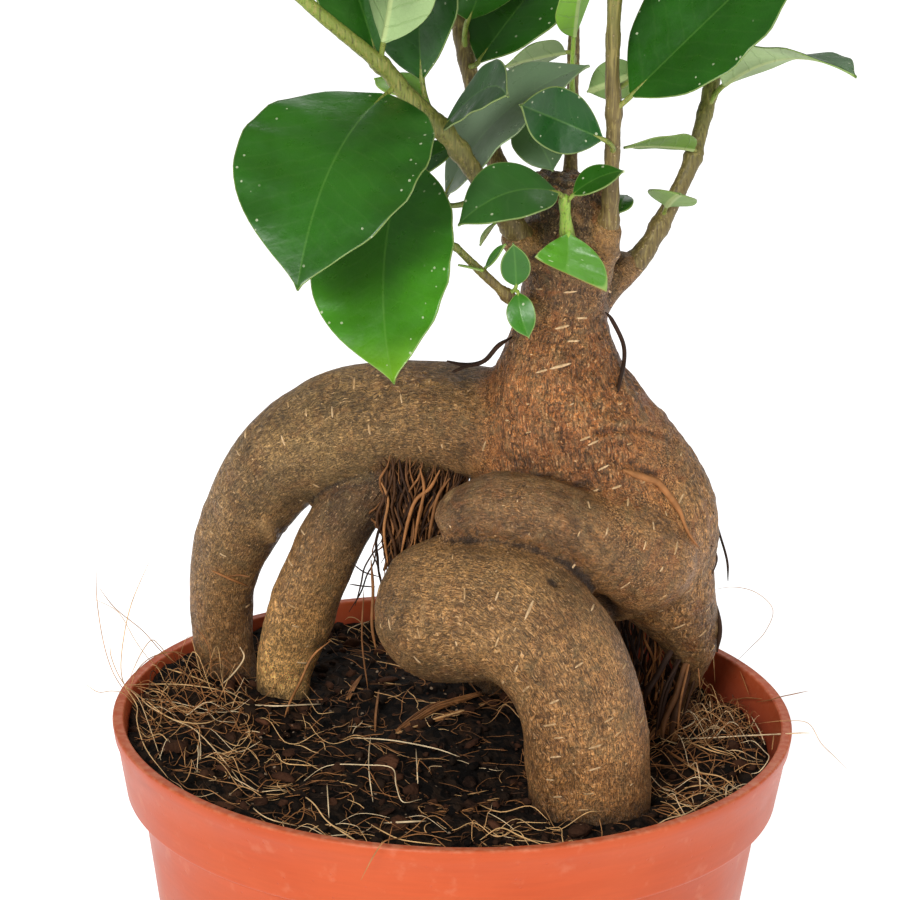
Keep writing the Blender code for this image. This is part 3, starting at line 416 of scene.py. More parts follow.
# Rootlets that hang from the bark's underside: how many, ranges of x and y, the level under their start,
# the highest start, the ranges of their free ends' height and of their radius, their tones, and the x that
# they gather at with how much. Those with no heights run into the mix
CURTAINS = [
    (
        80, (-14.6, 1.5), (7.0, 13.0), 140.0, 152.0,
        (120.0, 130.0), (0.6, 1.0), (0.1, 0.16, 0.24), (-9.5, 0.5),
    ),
    (
        230, (-14.6, 2.5), (2.6, 8.0), 140.0, 152.0,
        (123.0, 136.0), (0.1, 0.3), (0.0, 0.05, 0.12, 0.2, 0.3), (-9.5, 0.5),
    ),
    (
        130, (28.0, 41.5), (9.0, 27.0), 106.5, 127.0,
        None, (0.1, 0.3), (0.0, 0.0, 0.1, 0.2, 0.45), (35.0, 0.3),
    ),
]
CURTAIN_STEPS = 8

# Each leafy stem as (x, y, z, radius), from the end seated in the trunk to its growing tip
STEMS = {
    "stem_left": [
        (15.2, 3.8, 186.0, 1.8), (12.4, 2.2, 189.0, 1.9), (8.8, -1.2, 194.0, 1.9),
        (5.0, -4.0, 199.8, 1.75), (1.6, -6.2, 205.2, 1.6), (-3.2, -8.4, 212.2, 1.5),
        (-10.0, -11.0, 219.5, 1.4), (-14.0, -12.5, 224.5, 1.3), (-25.2, -17.0, 234.8, 1.1),
        (-34.0, -19.0, 244.0, 1.0), (-39.0, -19.5, 254.0, 0.9), (-41.5, -19.0, 265.0, 0.7),
    ],
    "stem_back": [
        (15.8, 8.2, 186.8, 1.7), (13.2, 9.6, 191.2, 1.8), (9.6, 11.2, 196.6, 1.8),
        (5.0, 13.5, 203.0, 1.7), (2.2, 16.0, 210.4, 1.5), (0.7, 18.0, 216.1, 1.4),
        (-2.1, 21.0, 227.7, 1.3), (-4.0, 23.0, 240.0, 1.2), (-4.5, 24.5, 254.0, 1.0),
        (-3.0, 25.5, 266.0, 0.9), (-1.0, 26.0, 278.0, 0.7),
    ],
    "stem_rear": [
        (18.2, 10.0, 188.0, 1.3), (18.2, 13.0, 192.0, 1.4), (18.5, 18.5, 200.0, 1.2),
        (18.6, 22.0, 209.0, 1.1), (18.6, 24.0, 217.0, 1.0), (18.7, 28.5, 226.0, 0.95),
        (18.8, 33.5, 236.0, 0.9), (18.6, 36.5, 247.0, 0.8), (18.2, 38.5, 257.0, 0.75),
        (18.0, 39.5, 266.0, 0.6),
    ],
    "stem_centre": [
        (21.6, 3.4, 184.6, 1.7), (23.8, 1.4, 190.0, 1.8), (24.7, 0.0, 195.0, 1.6),
        (24.9, -1.0, 199.6, 1.4), (24.9, -2.0, 206.6, 1.25), (24.9, -3.0, 215.4, 1.25),
        (24.4, -3.5, 222.3, 1.2), (24.4, -4.0, 234.3, 1.15), (24.8, -5.0, 248.0, 1.0),
        (26.0, -5.0, 262.0, 0.9), (27.5, -4.0, 276.0, 0.8), (28.0, -3.0, 288.0, 0.6),
    ],
    "stem_right": [
        (23.0, 7.3, 180.6, 1.7), (26.6, 8.6, 183.4, 1.8), (31.0, 10.0, 186.8, 1.7),
        (35.0, 12.0, 193.5, 1.5), (39.1, 15.0, 201.7, 1.4), (41.2, 18.0, 209.0, 1.3),
        (42.6, 20.0, 214.8, 1.3), (44.1, 22.0, 222.3, 1.2), (45.4, 24.0, 233.0, 1.1),
        (45.8, 25.0, 246.0, 0.9), (45.0, 25.5, 259.0, 0.8), (44.0, 26.0, 270.0, 0.6),
    ],
    "shoot_front": [
        (18.3, 1.4, 188.4, 0.9), (18.1, -1.4, 190.2, 1.0), (17.7, -4.4, 193.4, 0.95),
        (17.3, -6.4, 197.0, 0.9), (16.9, -8.2, 201.2, 0.8),
    ],
    "twig_left": [
        (14.0, 0.8, 177.6, 0.9), (11.0, -2.2, 179.8, 0.95), (8.8, -5.6, 182.6, 0.85),
        (6.0, -8.6, 185.9, 0.8), (2.7, -11.0, 189.6, 0.7), (-0.6, -13.0, 193.4, 0.65),
    ],
}

# Each leaf seen from the front: stem, drop from the blade's base to where its stalk joins, base, tip,
# half width, roll in degrees, arch and sideways bow as shares of the length; a torn blade also gives
# the shares where its two edges end
LEAVES = [
    ("stem_left", 0.0, (-13.2, -13.5, 219.6), (-26.1, -45.0, 194.9), 16.3, -5, 0.12, 0.03),
    ("stem_left", 0.0, (-9.8, -9.0, 207.6), (-10.7, -35.0, 176.6), 12.9, 19, 0.02, 0.06),
    ("stem_left", 1.0, (-15.0, -10.0, 225.4), (-28.0, -4.0, 256.0), 10.3, -20, 0.04, 0.0),
    ("stem_left", 3.0, (-13.6, -13.5, 228.6), (-14.6, -25.0, 259.0), 9.5, -41, 0.10, 0.01),
    ("stem_left", 8.0, (-7.3, -5.0, 220.7), (-9.0, 9.0, 253.0), 11.2, -50, 0.03, 0.02),
    ("stem_left", 0.0, (-7.0, -6.0, 217.6), (-15.4, 1.0, 219.0), 3.5, -16, 0.05, 0.0),
    ("stem_left", 1.5, (-3.6, -9.4, 213.2), (6.8, -27.0, 223.0), 5.5, 53, 0.0, -0.2),
    ("stem_left", 0.0, (-2.8, 2.5, 199.0), (20.8, 3.0, 221.6), 10.6, 17, 0.10, -0.04),
    ("stem_left", 0.0, (-1.8, -3.6, 208.8), (-9.4, -3.6, 203.2), 3.4, -30, 0.07, 0.0),
    ("stem_left", 0.0, (5.4, 0.6, 194.4), (3.0, 1.5, 190.2), 0.9, 20, 0.05, 0.0),
    ("stem_back", 2.0, (10.0, 10.2, 210.2), (15.2, 5.6, 202.4), 4.9, 29, 0.10, 0.0),
    ("stem_back", 0.0, (2.2, 16.0, 219.0), (20.4, 32.0, 239.4), 9.4, 15, 0.04, 0.01),
    ("stem_back", 5.0, (0.2, 16.0, 226.4), (5.5, 8.0, 248.0), 7.4, 170, 0.05, 0.0),
    ("stem_rear", 1.0, (17.0, 20.4, 219.9), (6.6, 14.8, 218.4), 4.7, 43, 0.03, 0.01),
    ("stem_rear", 12.0, (18.4, 17.0, 223.6), (19.8, 7.5, 239.4), 5.2, 45, 0.03, -0.02),
    ("stem_centre", 3.5, (23.0, -6.2, 211.2), (9.0, -15.0, 218.8), 5.5, -80, -0.14, 0.03),
    ("stem_centre", 3.5, (27.8, -4.4, 218.4), (56.4, -1.0, 247.2), 12.8, 34, 0.03, 0.02),
    ("stem_centre", 0.0, (29.4, 6.0, 220.2), (20.6, 7.6, 216.0), 3.9, 75, 0.02, 0.02),
    ("stem_centre", 0.0, (26.4, 1.8, 196.4), (28.0, 6.6, 198.2), 2.0, 10, 0.09, -0.02),
    ("stem_right", 6.0, (44.6, 17.0, 215.6), (65.0, -5.0, 222.4), 8.8, -12, 0.13, 0.0),
    ("stem_right", 1.5, (39.4, 14.0, 204.8), (27.0, 2.0, 207.8), 5.4, 23, 0.03, 0.01),
    ("stem_right", 3.5, (35.0, 8.8, 196.0), (36.6, -1.4, 200.8), 4.4, -16, 0.0, 0.02),
    ("shoot_front", 2.0, (15.6, -9.4, 202.6), (-0.8, -17.0, 198.6), 6.1, -35, 0.15, 0.06),
    ("shoot_front", 2.5, (18.4, -9.0, 202.2), (26.8, -8.0, 206.2), 3.2, 24, 0.09, -0.01),
    ("shoot_front", 0.0, (17.8, -6.8, 194.8), (17.6, -8.5, 176.8), 7.0, 0, 0.04, 0.0, (0.22, 0.52)),
    ("twig_left", 0.5, (9.2, -8.0, 186.0), (8.5, -9.6, 193.8), 2.6, 4, 0.03, 0.01),
    ("twig_left", 0.0, (9.6, -8.0, 184.6), (11.6, -10.8, 177.6), 2.5, 40, 0.09, 0.04),
    ("twig_left", 0.0, (4.0, -8.0, 189.0), (7.2, -9.5, 193.6), 1.3, 38, 0.0, 0.0),
    ("twig_left", 0.0, (3.2, -12.4, 189.8), (-0.6, -14.6, 191.2), 0.6, 0, 0.0, 0.0),
]

# Leaf tones, in the order of LEAVES: -1 dark, 0 middle green, 1 bright, 2 lime
LEAF_TONES = [
    0.1, 0.0, 0.1, 0.0, -0.3, 1.8, -1.0, -0.6, -0.1, 0.6, 0.1, 0.1, 0.2, 0.1, 1.9,
    -1.0, -0.3, -0.5, 0.0, 0.3, -1.0, -0.55, -0.2, 0.2, 1.25, 0.3, 0.5, 0.8, 1.5,
]
# Leaves with a painted greyish sheen, the bright room's reflection, by their place in LEAVES, and how
# strong it is
LEAF_PAINTED_SHEEN = {6: 0.08, 7: 0.46, 10: 0.22, 22: 0.05}
# Leaves that grow brighter towards their tip: tone added there
LEAF_GLOW = {0: 0.15, 1: 1.8, 22: 0.2}
# Tone added to each stem's wood
STEM_TONES = {
    "stem_left": 0.9, "stem_back": 0.2, "stem_rear": 0.2, "stem_centre": 0.5, "stem_right": 0.75,
    "shoot_front": 1.3, "twig_left": -0.3,
}

# Leaves that the rule adds: stem, share of the stem where they start, how many, and their lengths
CROWN = [
    ("stem_left", 0.74, 5, 37.0),
    ("stem_back", 0.62, 6, 38.0),
    ("stem_rear", 0.62, 5, 36.0),
    ("stem_centre", 0.64, 7, 38.0),
    ("stem_right", 0.72, 6, 37.0),
]
CROWN_SEED = 12
CROWN_MIDDLE = (16.0, 8.0)
GOLDEN_ANGLE = 137.5
# How much smaller the leaves get towards the tip, and the range of their sizes
CROWN_TAPER = 0.35
CROWN_SIZES = (0.9, 1.08)
# Degrees that they rise by, with more towards the tip, and that they roll by; and the range of their arch
CROWN_LIFTS = (18, 38)
CROWN_TIP_LIFT = 22
CROWN_ROLL = 14
CROWN_ARCHES = (0.05, 0.12)
# Length of their stalks, how far below the blade's base they join the stem, and half width over length
STALK_LENGTH = 4.0
CROWN_DROP = 2.5
CROWN_WIDTH = 0.29
# Each is turned by so many degrees at a time, and raised by so many after a round, until it is this clear
CROWN_TURN = 24
CROWN_RAISE = 12
TURNS_A_ROUND = 15
ROUNDS = 3
CLEARANCE = 3.0
# Lowest height of a leaf that the rule adds, at y = 0 and for each millimetre further back: the photograph
# would show one that hangs lower
CROWN_LEVEL = 235.0
CROWN_FALL = -0.209

# Share of the half width at each share of the blade's length
BLADE_SHARES = [0.0, 0.04, 0.10, 0.20, 0.32, 0.45, 0.60, 0.74, 0.84, 0.91, 0.96, 1.0]
BLADE_WIDTHS = [0.05, 0.26, 0.52, 0.80, 0.96, 1.00, 0.95, 0.76, 0.51, 0.25, 0.08, 0.0]
BLADE_ROWS = 30
BLADE_COLUMNS = [0.0, 0.05, 0.16, 0.3, 0.45, 0.6, 0.74, 0.87, 0.96, 1.0]
BLADE_FOLD = math.radians(8.0)
BLADE_HALF_THICKNESS = 0.2
RIB_HEIGHT = 0.35
RIB_WIDTH = 0.42
VEIN_SPACING = 3.1
VEIN_SLANT = 0.62
STALK_RADIUS = 0.55
STALK_TONE = 1.2
BUD_TONE = 1.2
# Radius of a bud from foot to tip, as shares of its stem's
BUD_SHAPE = [0.9, 1.1, 1.15, 1.05, 0.9, 0.7, 0.5, 0.28, 0.08]
# Least half width of a blade: where it is measured, and where it is drawn
TIP_HALF_WIDTH = 0.4
EDGE_HALF_WIDTH = 0.12
# Place of the wood's look among a leafy stem's three, after the blade's two sides
WOOD = 2
# The blade values that stems and stalks don't use
BLANK = {"rib": 9.0, "edge": 9.0, "torn": 0.0, "bloom": 0.0, "leaf_place": (0.0, 0.0, 0.0)}
# Angles of the rings that round off a tube's ends
END_ANGLES = (75, 50, 25)


class Skin:
    """Closed surfaces collected for one piece, in millimetres, with named values at their points."""

    def __init__(self):
        self.points, self.faces, self.finishes, self.values = [], [], [], {}
        self.count = 0

    def add(self, points, faces, finish=0, **values):
        points = np.asarray(points, float).reshape(-1, 3)
        blocks = faces if isinstance(faces, list) else [faces]
        slots = finish if isinstance(finish, list) else [finish] * len(blocks)
        for block, slot in zip(blocks, slots):
            self.faces.append(np.asarray(block) + self.count)
            self.finishes.append(np.full(len(block), slot))
        self.points.append(points)
        for name, value in values.items():
            value = np.asarray(value, float)
            shape = (len(points), 3) if value.shape[-1:] == (3,) and value.ndim else (len(points),)
            self.values.setdefault(name, []).append(np.broadcast_to(value, shape))
        self.count += len(points)

    def mesh(self, name):
        made = bpy.data.meshes.new(name)
        faces = [face for block in self.faces for face in block.tolist()]
        made.from_pydata((np.concatenate(self.points) * MM).tolist(), [], faces)
        made.polygons.foreach_set("material_index", np.concatenate(self.finishes).astype(np.int32))
        for key, blocks in self.values.items():
            give_values(made, key, np.concatenate(blocks))
        made.shade_smooth()
        return made


def give_values(mesh, name, values):
    """Stores one number or one vector for each point of the mesh, for the materials to read."""
    kind, field = ("FLOAT_VECTOR", "vector") if values.ndim == 2 else ("FLOAT", "value")
    mesh.attributes.new(name, kind, "POINT").data.foreach_set(field, values.astype(np.float32).ravel())


def new_object(name, data):
    """An object in the scene that shows the data."""
    made = bpy.data.objects.new(name, data)
    bpy.context.scene.collection.objects.link(made)
    return made


def mesh_from(bm, name):
    """The faces worked on in bm as a mesh. bm goes."""
    mesh = bpy.data.meshes.new(name)
    bm.to_mesh(mesh)
    bm.free()
    return mesh


def add_piece(name, mesh, finishes, slot, *nodes):
    """An object of the part, which rides on its body and may stand for CAD nodes."""
    piece = new_object(name, mesh)
    for finish in finishes:
        mesh.materials.append(finish)
    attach(piece, BODY)
    if nodes:
        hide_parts(*nodes)


def smooth_route(route, steps):
    """The route with in-between points on a smooth curve through its points, radius included."""
    points = [Vector(point) for point in route]
    ends = [2 * points[0] - points[1], *points, 2 * points[-1] - points[-2]]
    smooth = []
    for before, here, there, after in zip(ends, ends[1:], ends[2:], ends[3:]):
        for step in range(steps):
            t = step / steps
            linear = 0.5 * t * (there - before)
            square = t * t * (before - 2.5 * here + 2.0 * there - 0.5 * after)
            cube = t * t * t * (1.5 * (here - there) + 0.5 * (after - before))
            smooth.append(here + linear + square + cube)
    smooth.append(points[-1])
    return smooth


def frames_along(points):
    """Along a path: unit vectors ahead and to two sides that don't twist, and the distance so far."""
    ahead = np.gradient(points, axis=0)
    ahead /= np.linalg.norm(ahead, axis=1)[:, None] + 1e-12
    side = np.empty_like(ahead)
    across = np.cross(ahead[0], (0.31, 0.17, 0.94))
    for i, heading in enumerate(ahead):
        across = across - heading * across.dot(heading)
        across /= np.linalg.norm(across)
        side[i] = across
    steps = np.linalg.norm(np.diff(points, axis=0), axis=1)
    return ahead, side, np.cross(ahead, side), np.concatenate([[0.0], np.cumsum(steps)])


def grid_faces(rows, columns, closed=True):
    """Quads of a tube's rings, or of an open sheet where closed is False."""
    i, j = np.meshgrid(np.arange(rows - 1), np.arange(columns if closed else columns - 1), indexing="ij")
    i, j = i.ravel(), j.ravel()
    k = (j + 1) % columns
    return np.stack([i * columns + j, i * columns + k, (i + 1) * columns + k, (i + 1) * columns + j], 1)


def capped_faces(rows, sides):
    """The quads of a tube's rings, and a flat face over each of its ends."""
    j = np.arange(sides)
    return [grid_faces(rows, sides), j[None, ::-1], ((rows - 1) * sides + j)[None]]


def with_ends(values):
    """The values with the first and last repeated for the rings that round off a tube's ends."""
    extra = len(END_ANGLES)
    return np.concatenate([values[:1]] * extra + [values] + [values[-1:]] * extra)


def add_tube(skin, points, radii, sides, finish=0, round_ends=False, **values):
    """A closed tube along a path. A value given as one number for each point is spread round its ring."""
    points, radii = np.asarray(points, float), np.asarray(radii, float) * np.ones(len(points))
    ahead, side, up, along = frames_along(points)
    if round_ends:
        angles = np.radians(END_ANGLES)
        first = points[0] - ahead[0] * (radii[0] * np.sin(angles))[:, None]
        last = points[-1] + ahead[-1] * (radii[-1] * np.sin(angles[::-1]))[:, None]
        points = np.concatenate([first, points, last])
        radii = np.concatenate([radii[0] * np.cos(angles), radii, radii[-1] * np.cos(angles[::-1])])
        side, up, along = with_ends(side), with_ends(up), with_ends(along)
    turns = np.arange(sides) * math.tau / sides
    ring = side[:, None] * np.cos(turns)[:, None] + up[:, None] * np.sin(turns)[:, None]
    cloud = points[:, None] + ring * radii[:, None, None]
    ends = np.array([points[0], points[-1]])
    rows = len(points)
    faces = grid_faces(rows, sides)
    j = np.arange(sides)
    k = (j + 1) % sides
    top = (rows - 1) * sides
    low = np.stack([np.full(sides, rows * sides), k, j], 1)
    high = np.stack([np.full(sides, rows * sides + 1), top + j, top + k], 1)
    spread = {"along": along, **values}
    for key, value in spread.items():
        value = np.asarray(value, float)
        if value.shape == (rows,):
            value = np.append(np.repeat(value, sides), [value[0], value[-1]])
        spread[key] = value
    skin.add(np.concatenate([cloud.reshape(-1, 3), ends]), [faces, low, high], finish, **spread)


def route_arrays(route, steps):
    """The smoothed route's points and its radii."""
    smooth = np.array([tuple(point) for point in smooth_route(route, steps)])
    return smooth[:, :3], smooth[:, 3]


def applied(obj):
    """The object's mesh with its modifiers applied. The object goes."""
    bpy.context.view_layer.update()
    mesh = bpy.data.meshes.new_from_object(obj.evaluated_get(bpy.context.evaluated_depsgraph_get()))
    bpy.data.objects.remove(obj)
    return mesh


def fused(meshes, voxel, steps):
    """Overlapping bodies made one skin, with the creases between them smoothed."""
    bm = bmesh.new()
    for mesh in meshes:
        bm.from_mesh(mesh)
    obj = new_object("fused", mesh_from(bm, "fused"))
    remesh = obj.modifiers.new("Fuse", "REMESH")
    remesh.mode = "VOXEL"
    remesh.voxel_size = voxel * MM
    soften = obj.modifiers.new("Soften", "SMOOTH")
    soften.factor = 0.5
    soften.iterations = steps
    return applied(obj)


def vectors_of(items, field):
    """A field of the mesh's points as rows of three numbers."""
    flat = np.empty(len(items) * 3, np.float32)
    items.foreach_get(field, flat)
    return flat.reshape(-1, 3).astype(float)


def points_of(mesh):
    """The mesh's points in millimetres."""
    return vectors_of(mesh.vertices, "co") / MM


def normals_of(mesh):
    return vectors_of(mesh.vertex_normals, "vector")


def ripples(points, scale, seed=0):
    """Smooth noise of about -1 to 1 at points given in millimetres, with lumps about scale wide."""
    shift = Vector((17.3 * seed, -9.1 * seed, 4.7 * seed))
    return np.array([noise.noise(Vector(point) / scale + shift) for point in points.tolist()])


def all_ripples(points, kinds):
    """Ripples added up, from the height, width and seed of each kind."""
    return sum(height * ripples(points, width, seed) for height, width, seed in kinds)


def hump(distance, width):
    """1 where the distance is 0, falling softly to 0 over about twice the width."""
    return np.exp(-((distance / width) ** 2))


class Finish:
    """One material, whose nodes are added by short calls that each give an output to use further on."""

    def __init__(self, name, roughness, specular=0.5):
        self.material = bpy.data.materials.new(name)
        self.material.use_nodes = True
        self.tree = self.material.node_tree
        self.shader = self.tree.nodes["Principled BSDF"]
        self.put(self.shader.inputs["Roughness"], roughness)
        self.put(self.shader.inputs["Specular IOR Level"], specular)

    def put(self, socket, value):
        if isinstance(value, bpy.types.NodeSocket):
            self.tree.links.new(value, socket)
        elif isinstance(value, tuple) and len(value) == 3 and len(socket.default_value) == 4:
            socket.default_value = (*value, 1.0)
        else:
            socket.default_value = value

    def node(self, kind, inputs, output=0, **settings):
        made = self.tree.nodes.new("ShaderNode" + kind)
        for key, value in settings.items():
            setattr(made, key, value)
        for key, value in inputs.items():
            self.put(made.inputs[key], value)
        return made.outputs[output]

    def value(self, name):
        """A number stored at the mesh's points."""
        return self.node("Attribute", {}, "Fac", attribute_name=name)

    def vector(self, name):
        return self.node("Attribute", {}, "Vector", attribute_name=name)

    def place(self):
        """The point on the object, in millimetres."""
        here = self.node("TexCoord", {}, "Object")
        return self.node("VectorMath", {0: here, 1: (1 / MM, 1 / MM, 1 / MM)}, operation="MULTIPLY")

    def join(self, x, y, z=0.0):
        return self.node("CombineXYZ", {0: x, 1: y, 2: z})

    def stretch(self, place, scales):
        return self.node("VectorMath", {0: place, 1: scales}, operation="MULTIPLY")

    def shift(self, place, step):
        return self.node("VectorMath", {0: place, 1: step}, operation="ADD")

    def noise(self, place, width, detail=3.0, warp=0.0):
        """Cloudy noise with lumps about width wide, in the unit of place."""
        inputs = {"Vector": place, "Scale": 1.0 / width, "Detail": detail, "Distortion": warp}
        return self.node("TexNoise", inputs, "Fac")

    def streaks(self, place, scales, detail=3.0):
        """Noise stretched by three scales, each 1 over the width of its lumps."""
        return self.noise(self.stretch(place, scales), 1.0, detail)

    def cells(self, place, width, feature="F1", output="Distance"):
        return self.node("TexVoronoi", {"Vector": place, "Scale": 1.0 / width}, output, feature=feature)

    def dots(self, place, width, inner, outer):
        """1 in the middle of each cell out to inner, and 0 from outer on."""
        return self.fade(self.cells(place, width), inner, outer, 1.0, 0.0)

    def math(self, operation, a, b=0.0, c=0.0):
        return self.node("Math", {0: a, 1: b, 2: c}, operation=operation)

    def product(self, a, b):
        return self.math("MULTIPLY", a, b)

    def off_half(self, value):
        """How far a number is from a half."""
        return self.math("ABSOLUTE", self.math("SUBTRACT", value, 0.5))

    def between(self, share, first, second):
        """The number that lies a share of the way from first to second."""
        return self.math("MULTIPLY_ADD", self.math("SUBTRACT", second, first), share, first)

    def fade(self, value, low, high, start=0.0, end=1.0):
        """Goes softly from start to end while value goes from low to high."""
        inputs = {"Value": value, "From Min": low, "From Max": high, "To Min": start, "To Max": end}
        return self.node("MapRange", inputs, "Result", interpolation_type="SMOOTHSTEP")

    def mix(self, share, first, second):
        """The colour that lies a share of the way from first to second."""
        return self.node("Mix", {0: share, 6: first, 7: second}, 2, data_type="RGBA")

    def coats(self, base, *layers):
        """The base with colours laid over it in turn, each by its share."""
        for share, colour in layers:
            base = self.mix(share, base, colour)
        return base

    def times(self, colour, amount):
        """The colour made darker or lighter by a number."""
        return self.node("VectorMath", {0: colour, "Scale": amount}, operation="SCALE")

    def colour(self, value):
        self.put(self.shader.inputs["Base Color"], value)

    def rough(self, value):
        self.put(self.shader.inputs["Roughness"], value)

    def bumps(self, *reliefs):
        """Adds up heights from 0 to 1, each with the millimetres it stands for, and gives the material."""
        bump = {}
        for height, depth in reliefs:
            made = self.node("Bump", {"Height": height, "Distance": depth * MM, "Strength": 1.0, **bump})
            bump = {"Normal": made}
        self.put(self.shader.inputs["Normal"], made)
        return self.material


def camera_axes():
    """Where the camera stands, in millimetres, and its unit vectors right, up and forward."""
    rise = math.radians(CAMERA_ELEVATION)
    place = Vector((0.0, -CAMERA_DISTANCE * math.cos(rise), CAMERA_DISTANCE * math.sin(rise)))
    forward = -place.normalized()
    right = Vector((1.0, 0.0, 0.0))
    up = right.cross(forward)
    turn = Matrix.Rotation(math.radians(CAMERA_YAW), 3, up)
    right, forward = turn @ right, turn @ forward
    turn = Matrix.Rotation(math.radians(CAMERA_PITCH), 3, right)
    up, forward = turn @ up, turn @ forward
    turn = Matrix.Rotation(math.radians(CAMERA_ROLL), 3, forward)
    return place + Vector((0.0, 0.0, POT_HEIGHT)), turn @ right, turn @ up, forward


def photo_ray(pixel):
    """Where the camera stands, and the unit vector from it through a pixel of the photograph."""
    start, right, up, forward = camera_axes()
    x = (pixel[0] - PICTURE_PIXELS / 2) / FOCAL_PIXELS
    y = (pixel[1] - PICTURE_PIXELS / 2) / FOCAL_PIXELS
    return start, (forward + right * x - up * y).normalized()


def add_camera():
    """The camera that took the photograph."""
    place, right, up, forward = camera_axes()
    camera = bpy.data.cameras.new("camera")
    camera.sensor_width = SENSOR_WIDTH
    camera.lens = FOCAL_PIXELS * SENSOR_WIDTH / PICTURE_PIXELS
    camera.clip_start = 0.01
    obj = new_object("camera", camera)
    columns = Matrix((right, up, -forward)).transposed()
    obj.matrix_world = Matrix.Translation(place * MM) @ columns.to_4x4()
    bpy.context.scene.camera = obj


def add_light(name, place, target, size, power):
    """A square lamp that faces its target."""
    light = bpy.data.lights.new(name, "AREA")
    light.size = size
    light.energy = power
    heading = Vector(target) - Vector(place)
    turn = heading.to_track_quat("-Z", "Y").to_matrix().to_4x4()
    new_object(name, light).matrix_world = Matrix.Translation(Vector(place)) @ turn


def add_studio():
    """A pale floor, an even bright room and three soft lamps."""
    scene = bpy.context.scene
    scene.view_settings.view_transform = "Standard"
    world = bpy.data.worlds.new("studio")
    world.use_nodes = True
    room = world.node_tree.nodes["Background"].inputs
    room["Color"].default_value = (1.0, 1.0, 1.0, 1.0)
    room["Strength"].default_value = ROOM_LIGHT
    scene.world = world
    for name, place, target, size, power in LAMPS:
        add_light(name, place, target, size, power)

    bm = bmesh.new()
    bmesh.ops.create_grid(bm, x_segments=24, y_segments=24, size=FLOOR_SIZE / 2)
    floor = new_object("floor", mesh_from(bm, "floor"))
    look = Finish("floor", 0.9)
    look.put(look.shader.inputs["Emission Color"], (1.0, 1.0, 1.0))
    look.put(look.shader.inputs["Emission Strength"], FLOOR_GLOW)
    grain = look.noise(look.place(), 40.0, 3)
    look.colour(look.mix(look.fade(grain, 0.3, 0.7), (0.86, 0.86, 0.86), (0.9, 0.9, 0.9)))
    floor.data.materials.append(look.material)


def bark_look():
    """Bark: speckled brown, pale fibres, grey and rusty patches, painted glints and painted shade in
    creases.
    """
    look = Finish("bark", 0.5, 0.45)
    place, grain, calm = look.place(), look.vector("grain"), look.value("calm")
    rugged, shade, worn = look.value("rugged"), look.value("shade"), look.value("worn")
    warp = look.noise(place, 2.4, 2.0)
    bent = look.shift(grain, look.join(0.0, look.product(warp, 2.4), look.product(warp, -2.4)))
    strokes = look.streaks(bent, (0.8, 3.4, 3.4))
    speckle = look.streaks(bent, (0.85, 4.8, 4.8))
    cracks = look.streaks(bent, (0.24, 1.5, 1.5))
    split = look.product(look.fade(cracks, 0.44, 0.38), look.fade(rugged, 0.3, 0.9, 0.0, 0.6))
    split = look.product(split, calm)
    plain = look.noise(place, 0.3, 2.0)
    skin = look.between(look.fade(rugged, 0.1, 0.7), speckle, strokes)
    skin = look.between(calm, plain, skin)
    blotches = look.noise(place, 9.0, 5.0, 0.6)
    patches = look.noise(look.shift(place, (31.0, 5.0, 9.0)), 3.6, 6.0, 1.0)
    lumps = look.noise(look.shift(place, (3.0, 8.0, 2.0)), 0.9, 4.0)
    glints = look.product(look.dots(place, 0.62, 0.10, 0.2), look.fade(blotches, 0.3, 0.6))
    wrinkle = look.streaks(look.shift(bent, (9.0, 4.0, 7.0)), (0.8, 2.2, 2.2))
    lines = look.product(look.fade(look.off_half(wrinkle), 0.0, 0.04, 1.0, 0.0), calm)
    rings = look.streaks(look.shift(bent, (2.0, 7.0, 1.0)), (1.6, 0.45, 0.45), 2.0)
    rings = look.fade(look.off_half(rings), 0.0, 0.05, 0.4, 0.0)
    rust = look.product(look.fade(patches, 0.48, 0.34, 0.0, 0.6), look.fade(rugged, 0.2, 1.0, 0.3, 1.0))

    base = look.times(look.vector("tint"), look.fade(skin, 0.40, 0.60, 0.48, 1.52))
    base = look.times(base, look.fade(lumps, 0.35, 0.65, 0.66, 1.26))
    base = look.times(base, look.fade(blotches, 0.3, 0.7, 0.70, 1.25))
    base = look.coats(
        base,
        (look.fade(patches, 0.52, 0.72, 0.0, 0.55), (0.15, 0.110, 0.052)),
        (rust, (0.25, 0.085, 0.022)),
        (look.fade(skin, 0.41, 0.30, 0.0, 0.65), (0.04, 0.02, 0.009)),
        (look.product(lines, look.fade(blotches, 0.35, 0.65, 0.1, 0.5)), (0.48, 0.31, 0.16)),
        (look.product(rings, calm), (0.05, 0.026, 0.012)),
        (look.fade(skin, 0.61, 0.68, 0.0, 0.65), (0.66, 0.46, 0.28)),
        (split, (0.035, 0.016, 0.008)),
        # Painted glints: small pale specks that stand in for highlights on the bark
        (look.product(glints, 0.5), (0.62, 0.47, 0.28)),
        # Paler where the bark bulges out above its neighbours
        (look.fade(worn, 0.0, 1.0, 0.0, 0.3), (0.40, 0.25, 0.12)),
        # Shade values over 0 paint highlights and pale flecks; values under 0 paint shade in creases and
        # hollows
        (look.fade(shade, 0.0, 1.0, 0.0, 0.8), (0.45, 0.30, 0.15)),
        (look.fade(shade, 0.0, -1.0, 0.0, 0.9), (0.016, 0.008, 0.004)),
        # Darker over the last few millimetres above the mix
        (look.product(look.value("near_mix"), 0.85), (0.012, 0.007, 0.004)),
    )
    look.colour(look.stretch(base, (1.26, 1.13, 0.90)))
    look.rough(look.fade(skin, 0.35, 0.65, 0.60, 0.34))
    return look.bumps(
        (patches, 0.3),
        (lumps, 0.55),
        (look.math("SUBTRACT", 1.0, split), 0.4),
        (look.math("SUBTRACT", lines, rings), 0.1),
        (skin, 0.5),
    )


